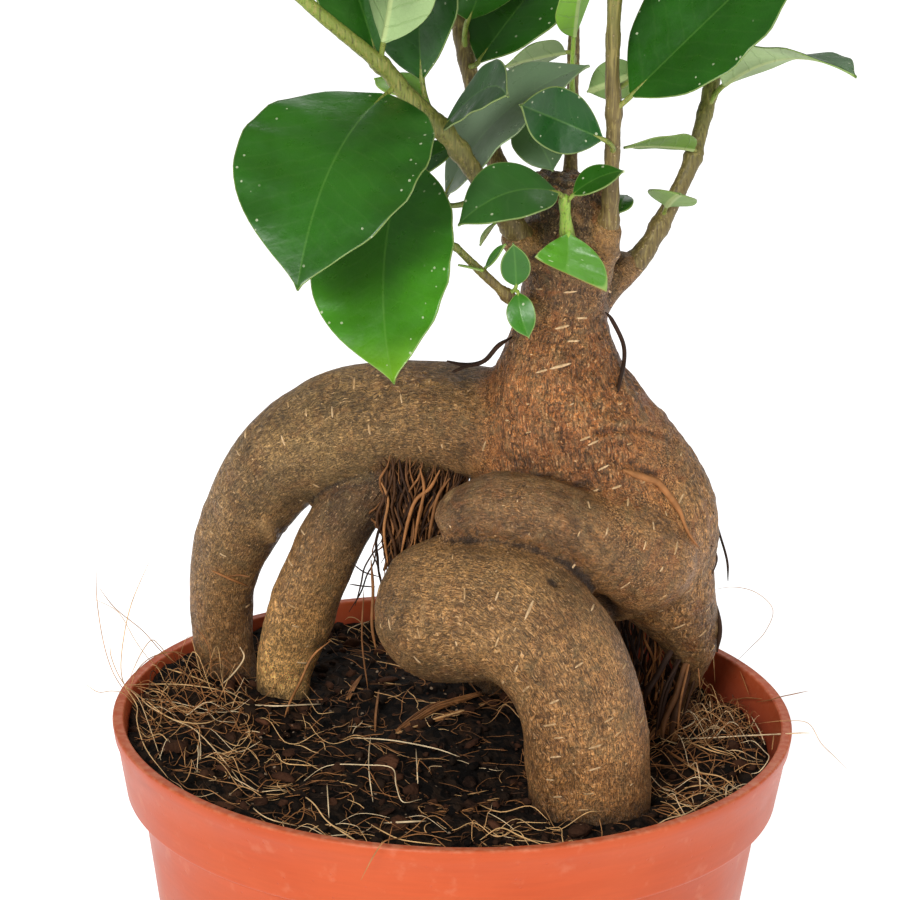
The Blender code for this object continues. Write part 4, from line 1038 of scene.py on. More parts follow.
def pore_look():
    """Corky pores: pale tan, a little darker in the middle."""
    look = Finish("pores", 0.75, 0.3)
    cloud = look.noise(look.place(), 0.5, 4.0)
    tone = look.mix(look.value("tone"), (0.42, 0.25, 0.11), (0.74, 0.52, 0.30))
    look.colour(look.times(tone, look.fade(cloud, 0.3, 0.7, 0.72, 1.2)))
    return look.bumps((cloud, 0.12))


def leaf_base(look, dark, middle, bright, lime):
    """The leaf's own green by its tone, with soft clouds."""
    tone = look.value("tone")
    base = look.coats(
        dark,
        (look.fade(tone, -1.0, 0.0), middle),
        (look.fade(tone, 0.0, 1.0), bright),
        (look.fade(tone, 1.0, 1.9), lime),
    )
    clouds = look.noise(look.place(), 13.0, 4.0)
    return look.times(base, look.fade(clouds, 0.3, 0.7, 0.78, 1.22))


def vein_lines(look, width):
    """Side veins that leave the midrib at a slant and fade before the margin."""
    along, rib = look.value("along"), look.value("rib")
    drift = look.noise(look.place(), 6.0, 2.0)
    slant = look.math("MULTIPLY_ADD", rib, -VEIN_SLANT, along)
    phase = look.math("FRACT", look.math("MULTIPLY_ADD", slant, 1.0 / VEIN_SPACING, drift))
    return look.fade(look.off_half(phase), 0.0, width / VEIN_SPACING, 1.0, 0.0)


def leaf_top_look():
    """Upper side: waxy green, pale midrib, faint side veins, whitish dots and a thin yellowish margin."""
    look = Finish("leaf_top", 0.3, 0.42)
    rib, edge = look.value("rib"), look.value("edge")
    greens = [(0.006, 0.058, 0.004), (0.018, 0.098, 0.006), (0.045, 0.20, 0.006), (0.16, 0.36, 0.012)]
    veins = look.product(vein_lines(look, 0.4), look.fade(edge, 0.3, 2.4))
    spots = look.dots(look.vector("leaf_place"), 2.0, 0.095, 0.13)
    spots = look.product(spots, look.fade(edge, 5.5, 2.0))
    base = look.coats(
        leaf_base(look, *greens),
        (look.product(veins, 0.03), (0.20, 0.34, 0.10)),
        (look.fade(rib, 0.06, 0.3, 0.2, 0.0), (0.16, 0.34, 0.06)),
        (look.fade(edge, 0.05, 0.26, 0.55, 0.0), (0.33, 0.42, 0.12)),
        # Painted sheen: grey-green laid over leaves that reflect the bright room
        (look.value("bloom"), (0.30, 0.38, 0.26)),
        (look.product(spots, 0.6), (0.62, 0.66, 0.45)),
        (look.value("torn"), (0.30, 0.19, 0.05)),
    )
    look.colour(base)
    skin = look.noise(look.place(), 0.55, 2.0)
    waves = look.noise(look.place(), 2.4, 2.0)
    look.rough(look.fade(waves, 0.3, 0.7, 0.27, 0.42))
    return look.bumps((waves, 0.1), (look.math("SUBTRACT", 1.0, veins), 0.006), (skin, 0.02))


def leaf_under_look():
    """Underside: pale matte green with a raised rib and a fine net of veins."""
    look = Finish("leaf_under", 0.58, 0.25)
    rib = look.value("rib")
    greens = [(0.13, 0.25, 0.03), (0.28, 0.39, 0.17), (0.33, 0.45, 0.18), (0.20, 0.44, 0.025)]
    veins = vein_lines(look, 0.3)
    net = look.cells(look.vector("leaf_place"), 1.0, "DISTANCE_TO_EDGE")
    net = look.fade(net, 0.0, 0.08, 1.0, 0.0)
    base = look.coats(
        leaf_base(look, *greens),
        (look.product(veins, 0.3), (0.19, 0.31, 0.09)),
        (look.product(net, 0.16), (0.16, 0.27, 0.08)),
        (look.fade(rib, 0.35, 0.7, 0.7, 0.0), (0.44, 0.52, 0.22)),
    )
    look.colour(base)
    return look.bumps((look.noise(look.place(), 1.6, 2.0), 0.08), (veins, 0.08))


def stem_look():
    """Young wood: olive brown to lime by its tone, with pale streaks along it and tan dots."""
    look = Finish("stem", 0.5, 0.45)
    tone = look.value("tone")
    streaks = look.streaks(look.place(), (2.6, 2.6, 0.22), 4.0)
    dots = look.dots(look.place(), 1.1, 0.12, 0.2)
    base = look.coats(
        (0.15, 0.078, 0.026),
        (look.fade(tone, -1.0, 0.0), (0.15, 0.105, 0.030)),
        (look.fade(tone, 0.0, 1.0), (0.18, 0.215, 0.035)),
        (look.fade(tone, 1.0, 2.0), (0.25, 0.42, 0.045)),
        (look.fade(streaks, 0.50, 0.66, 0.0, 0.5), (0.36, 0.28, 0.085)),
        (look.fade(streaks, 0.46, 0.34, 0.0, 0.6), (0.05, 0.03, 0.010)),
        (look.product(dots, look.fade(tone, 0.8, 0.0, 0.0, 0.7)), (0.42, 0.30, 0.16)),
    )
    look.colour(base)
    return look.bumps((streaks, 0.16), (dots, 0.1))


def plastic_look():
    """Moulded terracotta-coloured plastic: soft gloss, faint flow lines, tiny pits and a trace of dust."""
    look = Finish("pot_plastic", 0.36, 0.2)
    place = look.place()
    clouds = look.noise(place, 16.0, 4.0)
    flow = look.streaks(place, (0.12, 0.12, 1.3))
    pits = look.dots(place, 2.3, 0.05, 0.11)
    dust = look.fade(look.noise(place, 3.2, 6.0), 0.58, 0.75)
    sheen_patches = look.fade(look.noise(place, 1.3, 5.0), 0.35, 0.7, 0.3, 1.5)
    base = look.mix(look.fade(clouds, 0.3, 0.7), (0.48, 0.071, 0.017), (0.52, 0.085, 0.023))
    base = look.coats(
        look.times(base, look.fade(flow, 0.3, 0.7, 0.97, 1.03)),
        (look.product(dust, 0.10), (0.78, 0.42, 0.27)),
        (look.product(pits, 0.35), (0.45, 0.07, 0.03)),
        (look.value("inside"), (0.34, 0.060, 0.026)),
        # Painted highlight: paler patches along the rim's top edge
        (look.product(look.value("rim"), sheen_patches), (0.66, 0.24, 0.13)),
    )
    look.colour(base)
    look.rough(look.fade(clouds, 0.3, 0.7, 0.34, 0.44))
    return look.bumps((look.noise(place, 0.7, 2.0), 0.012), (look.math("SUBTRACT", 1.0, pits), 0.04))


def mix_look():
    """Peat and bark: nearly black, with brown crumbs and a few pale dots."""
    look = Finish("potting_mix", 0.9, 0.14)
    place = look.place()
    tone = look.node("SeparateColor", {0: look.cells(place, 1.6, output="Color")})
    base = look.coats(
        (0.003, 0.002, 0.0015),
        (look.fade(tone, 0.2, 1.0), (0.021, 0.012, 0.007)),
        (look.fade(look.noise(place, 5.0, 6.0), 0.56, 0.7, 0.0, 0.6), (0.055, 0.024, 0.011)),
        (look.product(look.dots(place, 2.9, 0.08, 0.12), 0.8), (0.36, 0.25, 0.16)),
        (look.value("tone"), (0.11, 0.042, 0.02)),
    )
    look.colour(base)
    return look.bumps((look.noise(place, 0.9, 5.0), 0.5), (look.cells(place, 0.8), 0.2))


def fibre_look():
    """Coir and thin roots, from dark reddish brown to pale straw by their tone."""
    look = Finish("fibres", 0.6, 0.18)
    tone = look.value("tone")
    base = look.coats(
        (0.03, 0.014, 0.008),
        (look.fade(tone, 0.0, 0.5), (0.39, 0.165, 0.056)),
        (look.fade(tone, 0.5, 0.8), (0.80, 0.49, 0.21)),
        (look.fade(tone, 0.8, 1.0), (0.92, 0.70, 0.42)),
    )
    streaks = look.noise(look.join(look.product(look.value("along"), 0.35), tone), 1.0, 4.0)
    look.colour(look.times(base, look.fade(streaks, 0.3, 0.7, 0.7, 1.25)))
    return look.bumps((streaks, 0.05))


def arc(centre_r, centre_z, radius, start, end, steps):
    """Points of (radius, z) round a fillet, between two angles in degrees."""
    angles = [math.radians(start + (end - start) * i / steps) for i in range(steps + 1)]
    return [(centre_r + radius * math.cos(a), centre_z + radius * math.sin(a)) for a in angles]


def inner_wall(gap=0.0):
    """The pot's inside from the floor's corner up to the rim, as (radius, z), moved in by gap."""
    shoulder = POT_HEIGHT - BAND_HEIGHT
    corners = [
        (FOOT_RADIUS - WALL - CORNER, FLOOR),
        (FOOT_RADIUS - WALL, FLOOR + CORNER),
        (SHOULDER_RADIUS - WALL, shoulder + 0.6 * WALL),
        (BAND_FOOT_RADIUS - WALL, shoulder + 1.6 * WALL),
        (RIM_RADIUS - RIM_WIDTH, POT_HEIGHT - RIM_WIDTH / 2),
    ]
    return [(radius - gap, height + gap) for radius, height in corners]


def between(points, most):
    """The same line of (radius, z) with no step longer than most."""
    line = [points[0]]
    for start, end in zip(points, points[1:]):
        steps = max(1, math.ceil(math.dist(start, end) / most))
        step = np.array(end) - start
        line += [tuple(np.array(start) + step * i / steps) for i in range(1, steps + 1)]
    return line


def turned(skin, profile, sides):
    """A closed body of revolution from a profile of (radius, z) that starts and ends near the axis."""
    turns = np.arange(sides) * math.tau / sides
    profile = np.array(profile)
    x = profile[:, :1] * np.cos(turns)
    y = profile[:, :1] * np.sin(turns)
    z = np.broadcast_to(profile[:, 1:], x.shape)
    cloud = np.stack([x, y, z], 2).reshape(-1, 3)
    skin.add(cloud, capped_faces(len(profile), sides))


def make_pot():
    """The pot's wall, band and rim, with its drain holes cut through the floor."""
    shoulder, rim_foot, lip = POT_HEIGHT - BAND_HEIGHT, POT_HEIGHT - RIM_FOOT, POT_HEIGHT - LIP_FILLET
    profile = [(HUB_RADIUS, 0.0), (FOOT_RADIUS - CORNER - 4.0, 0.0), (FOOT_RADIUS - CORNER - 3.0, 0.0)]
    profile += arc(FOOT_RADIUS - CORNER, CORNER, CORNER, -90, -8, 8)
    profile += [(SHOULDER_RADIUS - 0.25, shoulder - 0.5), (SHOULDER_RADIUS, shoulder)]
    profile += [(BAND_FOOT_RADIUS - 1.2, shoulder)]
    profile += arc(BAND_FOOT_RADIUS - BAND_FILLET, shoulder + BAND_FILLET, BAND_FILLET, -90, -4, 6)
    profile += [(RIM_RADIUS - RIM_STEP, rim_foot), (RIM_RADIUS - 0.3, rim_foot + 0.4)]
    profile += arc(RIM_RADIUS - LIP_FILLET, lip, LIP_FILLET, -15, 90, 5)
    profile += arc(RIM_RADIUS - RIM_WIDTH + LIP_FILLET, lip, LIP_FILLET, 90, 175, 5)
    profile += inner_wall()[-2::-1]
    profile += [(HUB_RADIUS, FLOOR)]
    skin = Skin()
    turned(skin, between(profile, 6.0), POT_SIDES)
    body = new_object("pot_body", skin.mesh("pot_body"))
    cutters = bmesh.new()
    for i in range(DRAIN_HOLES):
        turn = math.tau * (i + 0.5) / DRAIN_HOLES
        place = Matrix.Translation(Vector((math.cos(turn), math.sin(turn), 0.0)) * DRAIN_CIRCLE * MM)
        size = {"radius1": DRAIN_RADIUS * MM, "radius2": DRAIN_RADIUS * MM, "depth": 6 * FLOOR * MM}
        bmesh.ops.create_cone(cutters, cap_ends=True, segments=DRAIN_SIDES, matrix=place, **size)
    cutter = new_object("holes", mesh_from(cutters, "holes"))
    cut = body.modifiers.new("Holes", "BOOLEAN")
    cut.object = cutter
    cut.solver = "EXACT"
    mesh = applied(body)
    bpy.data.objects.remove(cutter)
    places = points_of(mesh)
    radius = np.hypot(places[:, 0], places[:, 1])
    wall = np.interp(places[:, 2], [z for _, z in inner_wall()], [r for r, _ in inner_wall()])
    depth = np.clip((POT_HEIGHT - places[:, 2]) / 2.5, 0.0, 1.0)
    give_values(mesh, "inside", np.where(radius < wall + 0.35 * WALL, depth, 0.0))
    # The rim's top edge, where the pot's look paints a highlight
    give_values(mesh, "rim", 0.45 * np.clip((places[:, 2] - POT_HEIGHT + 0.5) / 0.4, 0.0, 1.0))
    mesh.shade_smooth()
    mesh.set_sharp_from_angle(angle=SHARP_ANGLE)
    add_piece("pot_wall", mesh, [plastic_look()], "pot_plastic", "pot")


def soil_top(x, y):
    """Height of the mix's surface: a gentle slope with low mounds."""
    mounds = np.sin(0.16 * x + 0.9) * np.cos(0.13 * y) + 0.6 * np.sin(0.31 * y - 0.22 * x)
    return SOIL_LEVEL + SOIL_SLOPE * x + SOIL_BUMP * mounds


def laid(x, y, lift):
    """A place that high over the mix."""
    return (x, y, float(soil_top(x, y)) + lift)


def soil_reach(height):
    """How far out the mix may lie at a height."""
    wall = inner_wall(SOIL_GAP)
    return np.interp(height, [z for _, z in wall], [r for r, _ in wall])


def add_crumb(skin, place, size, rng, tone, flat=0.7):
    """An angular grain or flake with uneven sides."""
    bm = bmesh.new()
    bmesh.ops.create_icosphere(bm, subdivisions=2 if size > 1.3 else 1, radius=1.0)
    stretch = [size * rng.uniform(0.7, 1.3), size * rng.uniform(0.6, 1.0)]
    stretch += [size * flat * rng.uniform(0.7, 1.2)]
    turn = Matrix.Rotation(rng.uniform(0, math.tau), 3, "Z")
    turn = turn @ Matrix.Rotation(rng.uniform(-0.7, 0.7), 3, "X")
    points, origin = [], Vector((rng.uniform(0, 99), rng.uniform(0, 99), 0.0))
    for vert in bm.verts:
        swell = 1.0 + 0.45 * noise.noise(vert.co * 1.3 + origin)
        stretched = Vector([a * b * swell for a, b in zip(vert.co, stretch)])
        points.append(turn @ stretched + Vector(place))
    faces = [[vert.index for vert in face.verts] for face in bm.faces]
    bm.free()
    skin.add(points, np.array(faces), tone=tone)


def make_soil(stock):
    """Potting mix with a lumpy top, loose crumbs and flakes of bark. stock answers where the roots are."""
    rng = random.Random(SOIL_SEED)
    skin = Skin()
    wall = inner_wall(SOIL_GAP)
    turns = np.arange(SOIL_SPOKES) * math.tau / SOIL_SPOKES
    across = np.stack([np.cos(turns), np.sin(turns)], 1)
    widest = wall[-1][0]
    edge = soil_reach(soil_top(widest * across[:, 0], widest * across[:, 1]))
    cloud = []
    for radius, z in between(wall[:-1], 12.0):
        cloud.append(np.column_stack([radius * across, np.full(SOIL_SPOKES, z)]))
    for ring in range(SOIL_RINGS):
        share = 1.0 - ring / SOIL_RINGS
        flat = across * (edge * share)[:, None]
        cloud.append(np.column_stack([flat, soil_top(flat[:, 0], flat[:, 1])]))
    rows = len(cloud)
    cloud = np.concatenate(cloud)
    top = slice((rows - SOIL_RINGS) * SOIL_SPOKES, None)
    cloud[top, 2] += np.clip(all_ripples(cloud[top], SOIL_RIPPLES), *SOIL_RANGE)
    skin.add(cloud, capped_faces(rows, SOIL_SPOKES), tone=0.0)
    for i in range(CRUMBS + CHIPS):
        chip = i >= CRUMBS
        size = rng.uniform(*CHIP_SIZES) if chip else CRUMB_LEAST + CRUMB_SPREAD * rng.random() ** 4.0
        turn, radius = rng.uniform(0, math.tau), widest * rng.random() ** 0.5
        x, y = radius * math.cos(turn), radius * math.sin(turn)
        z = float(soil_top(x, y)) + 0.35 * size
        tone = rng.uniform(0.25, 1.0) if chip else 0.6 * rng.random() ** 3.0
        if radius < soil_reach(z) - size and stock.clear((x, y, z), 0.1 + 0.5 * size * chip):
            add_crumb(skin, (x, y, z), size, rng, tone, flat=0.35 if chip else 0.7)
    number, across, deep, heights = CAUGHT
    for _ in range(number):
        x, y, lift = rng.uniform(*across), rng.uniform(*deep), rng.uniform(*heights)
        size, place = rng.uniform(*CAUGHT_SIZES), laid(x, y, lift * rng.random())
        if stock.clear(place, 0.6 * size):
            add_crumb(skin, place, size, rng, rng.uniform(0.0, 0.9))
    add_piece("mix_top", skin.mesh("mix_top"), [mix_look()], "potting_mix", "soil")


class Stock:
    """The finished surface of the roots, asked by the pieces that lie on it or keep off it."""

    def __init__(self, mesh):
        self.points = points_of(mesh)
        faces = [tuple(face.vertices) for face in mesh.polygons]
        self.tree = BVHTree.FromPolygons(self.points.tolist(), faces)

    def distance(self, place):
        """How far outside the surface a place is; less than 0 inside."""
        hit, normal, _, gap = self.tree.find_nearest(Vector(place))
        return gap if (Vector(place) - hit).dot(normal) >= 0 else -gap

    def clear(self, place, room):
        return self.distance(place) > room

    def seen(self, pixel):
        """Where the camera's ray through a pixel meets the roots, and the normal there."""
        hit, normal, _, _ = self.tree.ray_cast(*photo_ray(pixel))
        return hit, normal


def root_tubes():
    """Skins of the limbs and of the roots that press against them, before they are fused."""
    limbs = Skin()
    for route in BLENDED_ROOTS:
        points, radii = route_arrays(route, 6)
        add_tube(limbs, points, radii, 32, round_ends=True)
    groups = [fused([limbs.mesh("limbs")], BLEND_VOXEL, BLEND_STEPS)]
    for route in PRESSED_ROOTS:
        pressed = Skin()
        add_tube(pressed, *route_arrays(route, 6), 32, round_ends=True)
        groups.append(fused([pressed.mesh("pressed")], BLEND_VOXEL, BLEND_STEPS))
    small = Skin()
    for route in COLLARS:
        add_tube(small, *route_arrays(route, 5), 16, round_ends=True)
    groups.append(small.mesh("small"))
    return groups


def root_fields(points):
    """For each point: its place along and across the nearest root and that root's direction, the blended
    colour and ruggedness of the roots near it, and how far it is from the next root."""
    count = len(points)
    nearest, second = np.full(count, np.inf), np.full(count, np.inf)
    grain, heading = np.zeros((count, 3)), np.zeros((count, 3))
    tints, wild, weights = np.zeros((count, 3)), np.zeros(count), np.zeros(count)
    for number, (route, rugged, colours) in enumerate(ROOT_COLOURS):
        line, radii = route_arrays(route, 7)
        ahead, side, up, along = frames_along(line)
        reach = np.empty(count)
        spot = np.empty(count, int)
        for start in range(0, count, FIELD_BLOCK):
            block = slice(start, start + FIELD_BLOCK)
            gaps = np.linalg.norm(points[block, None] - line[None], axis=2) - radii
            spot[block] = gaps.argmin(1)
            reach[block] = gaps.min(1)
        away = points - line[spot]
        own = [along[spot] + (away * ahead[spot]).sum(1) + GRAIN_STEP * number]
        own += [(away * side[spot]).sum(1), (away * up[spot]).sum(1)]
        closer = reach < nearest
        second = np.where(closer, nearest, np.minimum(second, reach))
        nearest[closer] = reach[closer]
        grain[closer] = np.stack(own, 1)[closer]
        heading[closer] = ahead[spot][closer]
        share = along[spot] / along[-1]
        stops = np.linspace(0.0, 1.0, len(colours))
        tint = np.stack([np.interp(share, stops, channel) for channel in zip(*colours)], 1)
        weight = np.exp(-np.clip(reach, -1.0, 30.0) / TINT_BLEND)
        tints += tint * weight[:, None]
        wild += rugged * weight
        weights += weight
    return grain, heading, tints / weights[:, None], wild / weights, second - nearest


def hollowness(mesh, points, normals, passes):
    """How far each point lies under the average of its neighbours, in millimetres: over 0 in a crease."""
    ends = np.empty(len(mesh.edges) * 2, np.int32)
    mesh.edges.foreach_get("vertices", ends)
    a, b = ends.reshape(-1, 2).T
    size = len(points)
    count = np.bincount(a, minlength=size) + np.bincount(b, minlength=size)
    soft = points.copy()
    for _ in range(passes):
        total = np.zeros_like(soft)
        for axis in range(3):
            total[:, axis] = np.bincount(a, soft[b, axis], size) + np.bincount(b, soft[a, axis], size)
        soft = 0.5 * soft + 0.5 * total / count[:, None]
    return ((soft - points) * normals).sum(1)


def mark_path(stock, pixels):
    """A line drawn over the photograph laid on the roots, a point about every third of a millimetre."""
    path = []
    for start, end in zip(pixels, pixels[1:]):
        steps = max(2, round(math.dist(start, end) / 2.0))
        for i in range(steps + 1):
            pixel = [a + (b - a) * i / steps for a, b in zip(start, end)]
            hit = stock.seen(pixel)[0]
            if hit is not None:
                path.append(hit)
    return np.array([tuple(hit) for hit in path])


def make_stock():
    """Roots, trunk and sawn stump grown as one piece, with bark relief and the photograph's marks."""
    mesh = fused(root_tubes(), SKIN_VOXEL, SKIN_STEPS)
    points = points_of(mesh)
    grain, _, tints, wild, apart = root_fields(points)
    calm = np.clip(apart / 2.5, 0.0, 1.0)
    normals = normals_of(mesh)
    away = np.hypot(points[:, 0] - STUMP_MIDDLE[0], points[:, 1] - STUMP_MIDDLE[1])
    sawn = STUMP_TOP - math.tan(STUMP_LEAN) * (points[:, 0] - STUMP_MIDDLE[0])
    sawn = sawn + np.clip(all_ripples(points * (1, 1, 0), SAWN_RIPPLES), *SAWN_RANGE)
    over = (points[:, 2] > sawn) & (away < STUMP_REACH)

    ridges = 0.26 * ripples(grain * (0.2, 1.0, 1.0), 3.2, 3)
    ridges = ridges + 0.13 * ripples(grain * (0.35, 1.0, 1.0), 1.5, 4)
    push = all_ripples(points, BARK_RIPPLES) + ridges * calm * (0.6 + 0.9 * wild)
    push += wild * 0.28 * ripples(points, 1.6, 7)
    shade = np.zeros(len(points))
    plain = Stock(mesh)
    for pixels, height, width, dark in RELIEF_MARKS:
        path = mark_path(plain, pixels)
        if not len(path):
            continue
        near = np.flatnonzero(np.linalg.norm(points - path.mean(0), axis=1) < MARK_REACH)
        gap = np.linalg.norm(points[near, None] - path[None], axis=2).min(1)
        fall = hump(gap, width)
        push[near] += height * fall
        shade[near] += dark * fall
    points = points + normals * push[:, None]
    points[over, 2] = np.minimum(points[over, 2], sawn[over])
    mesh.vertices.foreach_set("co", (points * MM).astype(np.float32).ravel())
    mesh.update()
    hollow = hollowness(mesh, points, normals_of(mesh), CREASE_PASSES)
    broad = hollowness(mesh, points, normals_of(mesh), HOLLOW_PASSES)
    # Painted shade: the shade values darken narrow creases and broad hollows between the roots, and the
    # sawn face a little
    shade -= np.clip((hollow - 0.15) * 1.7, 0.0, 0.5) + np.clip((broad - 0.4) * 0.7, 0.0, 0.55)
    shade[over] -= 0.25
    over_mix = points[:, 2] - soil_top(points[:, 0], points[:, 1]) + 1.2 * ripples(points, 4.0, 8)
    fields = {"grain": grain, "calm": calm, "rugged": wild, "tint": tints}
    # Nearness to the mix: the bark darkens over the last few millimetres above it
    fields["near_mix"] = np.clip(1.0 - over_mix / 4.5, 0.0, 1.0)
    fields["shade"] = np.clip(shade, -1.0, 1.0)
    # How far each point bulges out above its neighbours; the bark is made paler there
    fields["worn"] = np.clip(-hollow * 3.0, -0.2, 0.8)
    for name, values in fields.items():
        give_values(mesh, name, values)
    mesh.shade_smooth()
    add_piece("roots_and_trunk", mesh, [bark_look()], "bark", "root_stock")
    return Stock(mesh)


def add_pore(skin, place, normal, across, length, width, tone):
    """A small corky spindle half sunk in the bark."""
    ahead = (across - normal * across.dot(normal)).normalized()
    side = normal.cross(ahead)
    cloud = []
    for i in range(PORE_ROWS):
        t = i / (PORE_ROWS - 1) * 2 - 1
        girth = max(0.06, (1 - t * t) ** 0.6)
        centre = place + ahead * (t * length / 2) - normal * (0.05 + 0.12 * t * t)
        for j in range(PORE_SIDES):
            turn = math.tau * j / PORE_SIDES
            lean = side * (math.cos(turn) * width / 2) + normal * (math.sin(turn) * width * 0.42)
            cloud.append(tuple(centre + lean * girth))
    tones = np.repeat([tone - 0.5 * (1 - abs(i / 3 - 1)) for i in range(PORE_ROWS)], PORE_SIDES)
    skin.add(cloud, capped_faces(PORE_ROWS, PORE_SIDES), tone=tones)


def make_pores(stock):
    """Pores across the roots: those seen in the photograph, and others spread by rule."""
    rng = random.Random(ROOT_SEED)
    skin = Skin()
    wanted = [(*stock.seen(pixel), length) for pixel, length in SEEN_PORES]
    points = stock.points[::3]
    for _ in range(PORES * 4):
        start = Vector(points[rng.randrange(len(points))].tolist())
        hit, normal, _, _ = stock.tree.find_nearest(start)
        fresh = all((hit - other[0]).length > PORE_ROOM for other in wanted if other[0] is not None)
        if PORE_LOW < hit.z < PORE_HIGH and fresh and len(wanted) < PORES + len(SEEN_PORES):
            wanted.append((hit, normal, 0.7 + 2.4 * rng.random() ** 2.2))
    wanted = [row for row in wanted if row[0] is not None]
    headings = root_fields(np.array([tuple(row[0]) for row in wanted]))[1]
    for (hit, normal, length), heading in zip(wanted, headings.tolist()):
        across = normal.cross(Vector(heading)).normalized()
        across = (across + Vector(heading) * rng.uniform(-0.28, 0.1)).normalized()
        width = 0.26 + 0.09 * length * rng.uniform(0.7, 1.2)
        add_pore(skin, hit, normal, across, length, width, rng.uniform(0.35, 1.0))
    add_piece("bark_pores", skin.mesh("bark_pores"), [pore_look()], "bark")


def nearest_on(route, place):
    """The point on a smooth route nearest to a place."""
    points = [point.to_3d() for point in smooth_route(route, 6)]
    return min(points, key=lambda point: (point - place).length)


def blade_frame(base, tip, roll):
    """Unit vectors along a blade, out of its upper side, and across it."""
    along = (tip - base).normalized()
    upright = Vector((0, 0, 1)) if abs(along.z) < 0.97 else Vector((0, -1, 0))
    up = (upright - along * upright.dot(along)).normalized()
    across = along.cross(up)
    turn = math.radians(roll)
    up = up * math.cos(turn) + across * math.sin(turn)
    return along, up, along.cross(up)


def share_at(t):
    """Half width at a share of the blade's length, as a share of the widest."""
    for low, high, narrow, wide in zip(BLADE_SHARES, BLADE_SHARES[1:], BLADE_WIDTHS, BLADE_WIDTHS[1:]):
        if t <= high:
            return narrow + (wide - narrow) * (t - low) / (high - low)
    return 0.0


def soft_share(t):
    """The same outline with its corners rounded."""
    step = 0.035 * min(1.0, 6.0 * t + 0.15, 6.0 * (1.0 - t) + 0.15)
    return sum(share_at(min(1.0, max(0.0, t + step * k))) for k in (-2, -1, 0, 1, 2)) / 5


def blade_point(leaf, t, u, outline=share_at, narrowest=TIP_HALF_WIDTH):
    """A place on the middle surface of a blade: t runs from base to tip, u from edge to edge."""
    _, _, base, tip, half_width, roll, arch, bow = leaf[:8]
    base, tip = Vector(base), Vector(tip)
    left, right = leaf[8] if len(leaf) > 8 else (1.0, 1.0)
    t *= (right + left + u * (left - right)) / 2
    along, up, across = blade_frame(base, tip, roll)
    length = (tip - base).length
    hump = 4 * t * (1 - t) * length
    middle = base.lerp(tip, t) + up * (arch * hump) + across * (bow * hump)
    tilted = (up - along * (4 * arch * (1 - 2 * t))).normalized()
    reach = max(half_width * outline(t), narrowest)
    rise = abs(u) * reach * math.sin(BLADE_FOLD)
    return middle + across * (u * reach * math.cos(BLADE_FOLD)) + tilted * rise, tilted


def samples(leaf):
    """Places spread over a blade, to measure how near two blades come."""
    shares = [i / 11 for i in range(12)]
    sides = (-1, -0.66, -0.33, 0, 0.33, 0.66, 1)
    return np.array([blade_point(leaf, t, u)[0] for t in shares for u in sides])


def crown_leaves():
    """Leaves up the stems in a spiral, each turned on until it clears the ones already there."""
    rng = random.Random(CROWN_SEED)
    placed = list(LEAVES)
    clouds = [samples(leaf) for leaf in placed]
    stems = {name: [point.to_3d() for point in smooth_route(route, 4)] for name, route in STEMS.items()}
    for stem, start, count, length in CROWN:
        line = stems[stem]
        azimuth = rng.uniform(0, 360)
        for i in range(count):
            share = start + (1.0 - start) * i / (count - 1)
            joint = line[round(share * (len(line) - 1))]
            outward = Vector((joint.x - CROWN_MIDDLE[0], joint.y - CROWN_MIDDLE[1], 0.0)).normalized()
            size = length * (1.0 - CROWN_TAPER * (i / count) ** 2) * rng.uniform(*CROWN_SIZES)
            lift = rng.uniform(*CROWN_LIFTS) + CROWN_TIP_LIFT * i / count
            roll = rng.uniform(-CROWN_ROLL, CROWN_ROLL)
            arch = rng.uniform(*CROWN_ARCHES)
            others = [place for name, route in stems.items() if name != stem for place in route]
            others += [place for place in line if (place - joint).length > 9.0]
            others = np.concatenate([*clouds, np.array(others)])
            best = None
            for turned in range(TURNS_A_ROUND * ROUNDS):
                heading = math.radians(azimuth + CROWN_TURN * turned)
                flat = Vector((math.cos(heading), math.sin(heading), 0.0))
                reach = size * (0.76 + 0.24 * max(0.0, flat.dot(outward)))
                rise = math.radians(lift + CROWN_RAISE * (turned // TURNS_A_ROUND))
                along = flat * math.cos(rise) + Vector((0, 0, math.sin(rise)))
                base = joint + along * STALK_LENGTH + Vector((0, 0, 1.0))
                half_width = CROWN_WIDTH * reach
                leaf = (stem, CROWN_DROP, base, base + along * reach, half_width, roll, arch, 0.0)
                cloud = samples(leaf)
                if (cloud[:, 2] - CROWN_FALL * cloud[:, 1]).min() < CROWN_LEVEL:
                    continue
                room = np.linalg.norm(cloud[:, None] - others[None], axis=2).min()
                if best is None or room > best[0]:
                    best = (room, leaf, cloud)
                if room > CLEARANCE:
                    break
            placed.append(best[1])
            clouds.append(best[2])
            azimuth += GOLDEN_ANGLE
    return placed


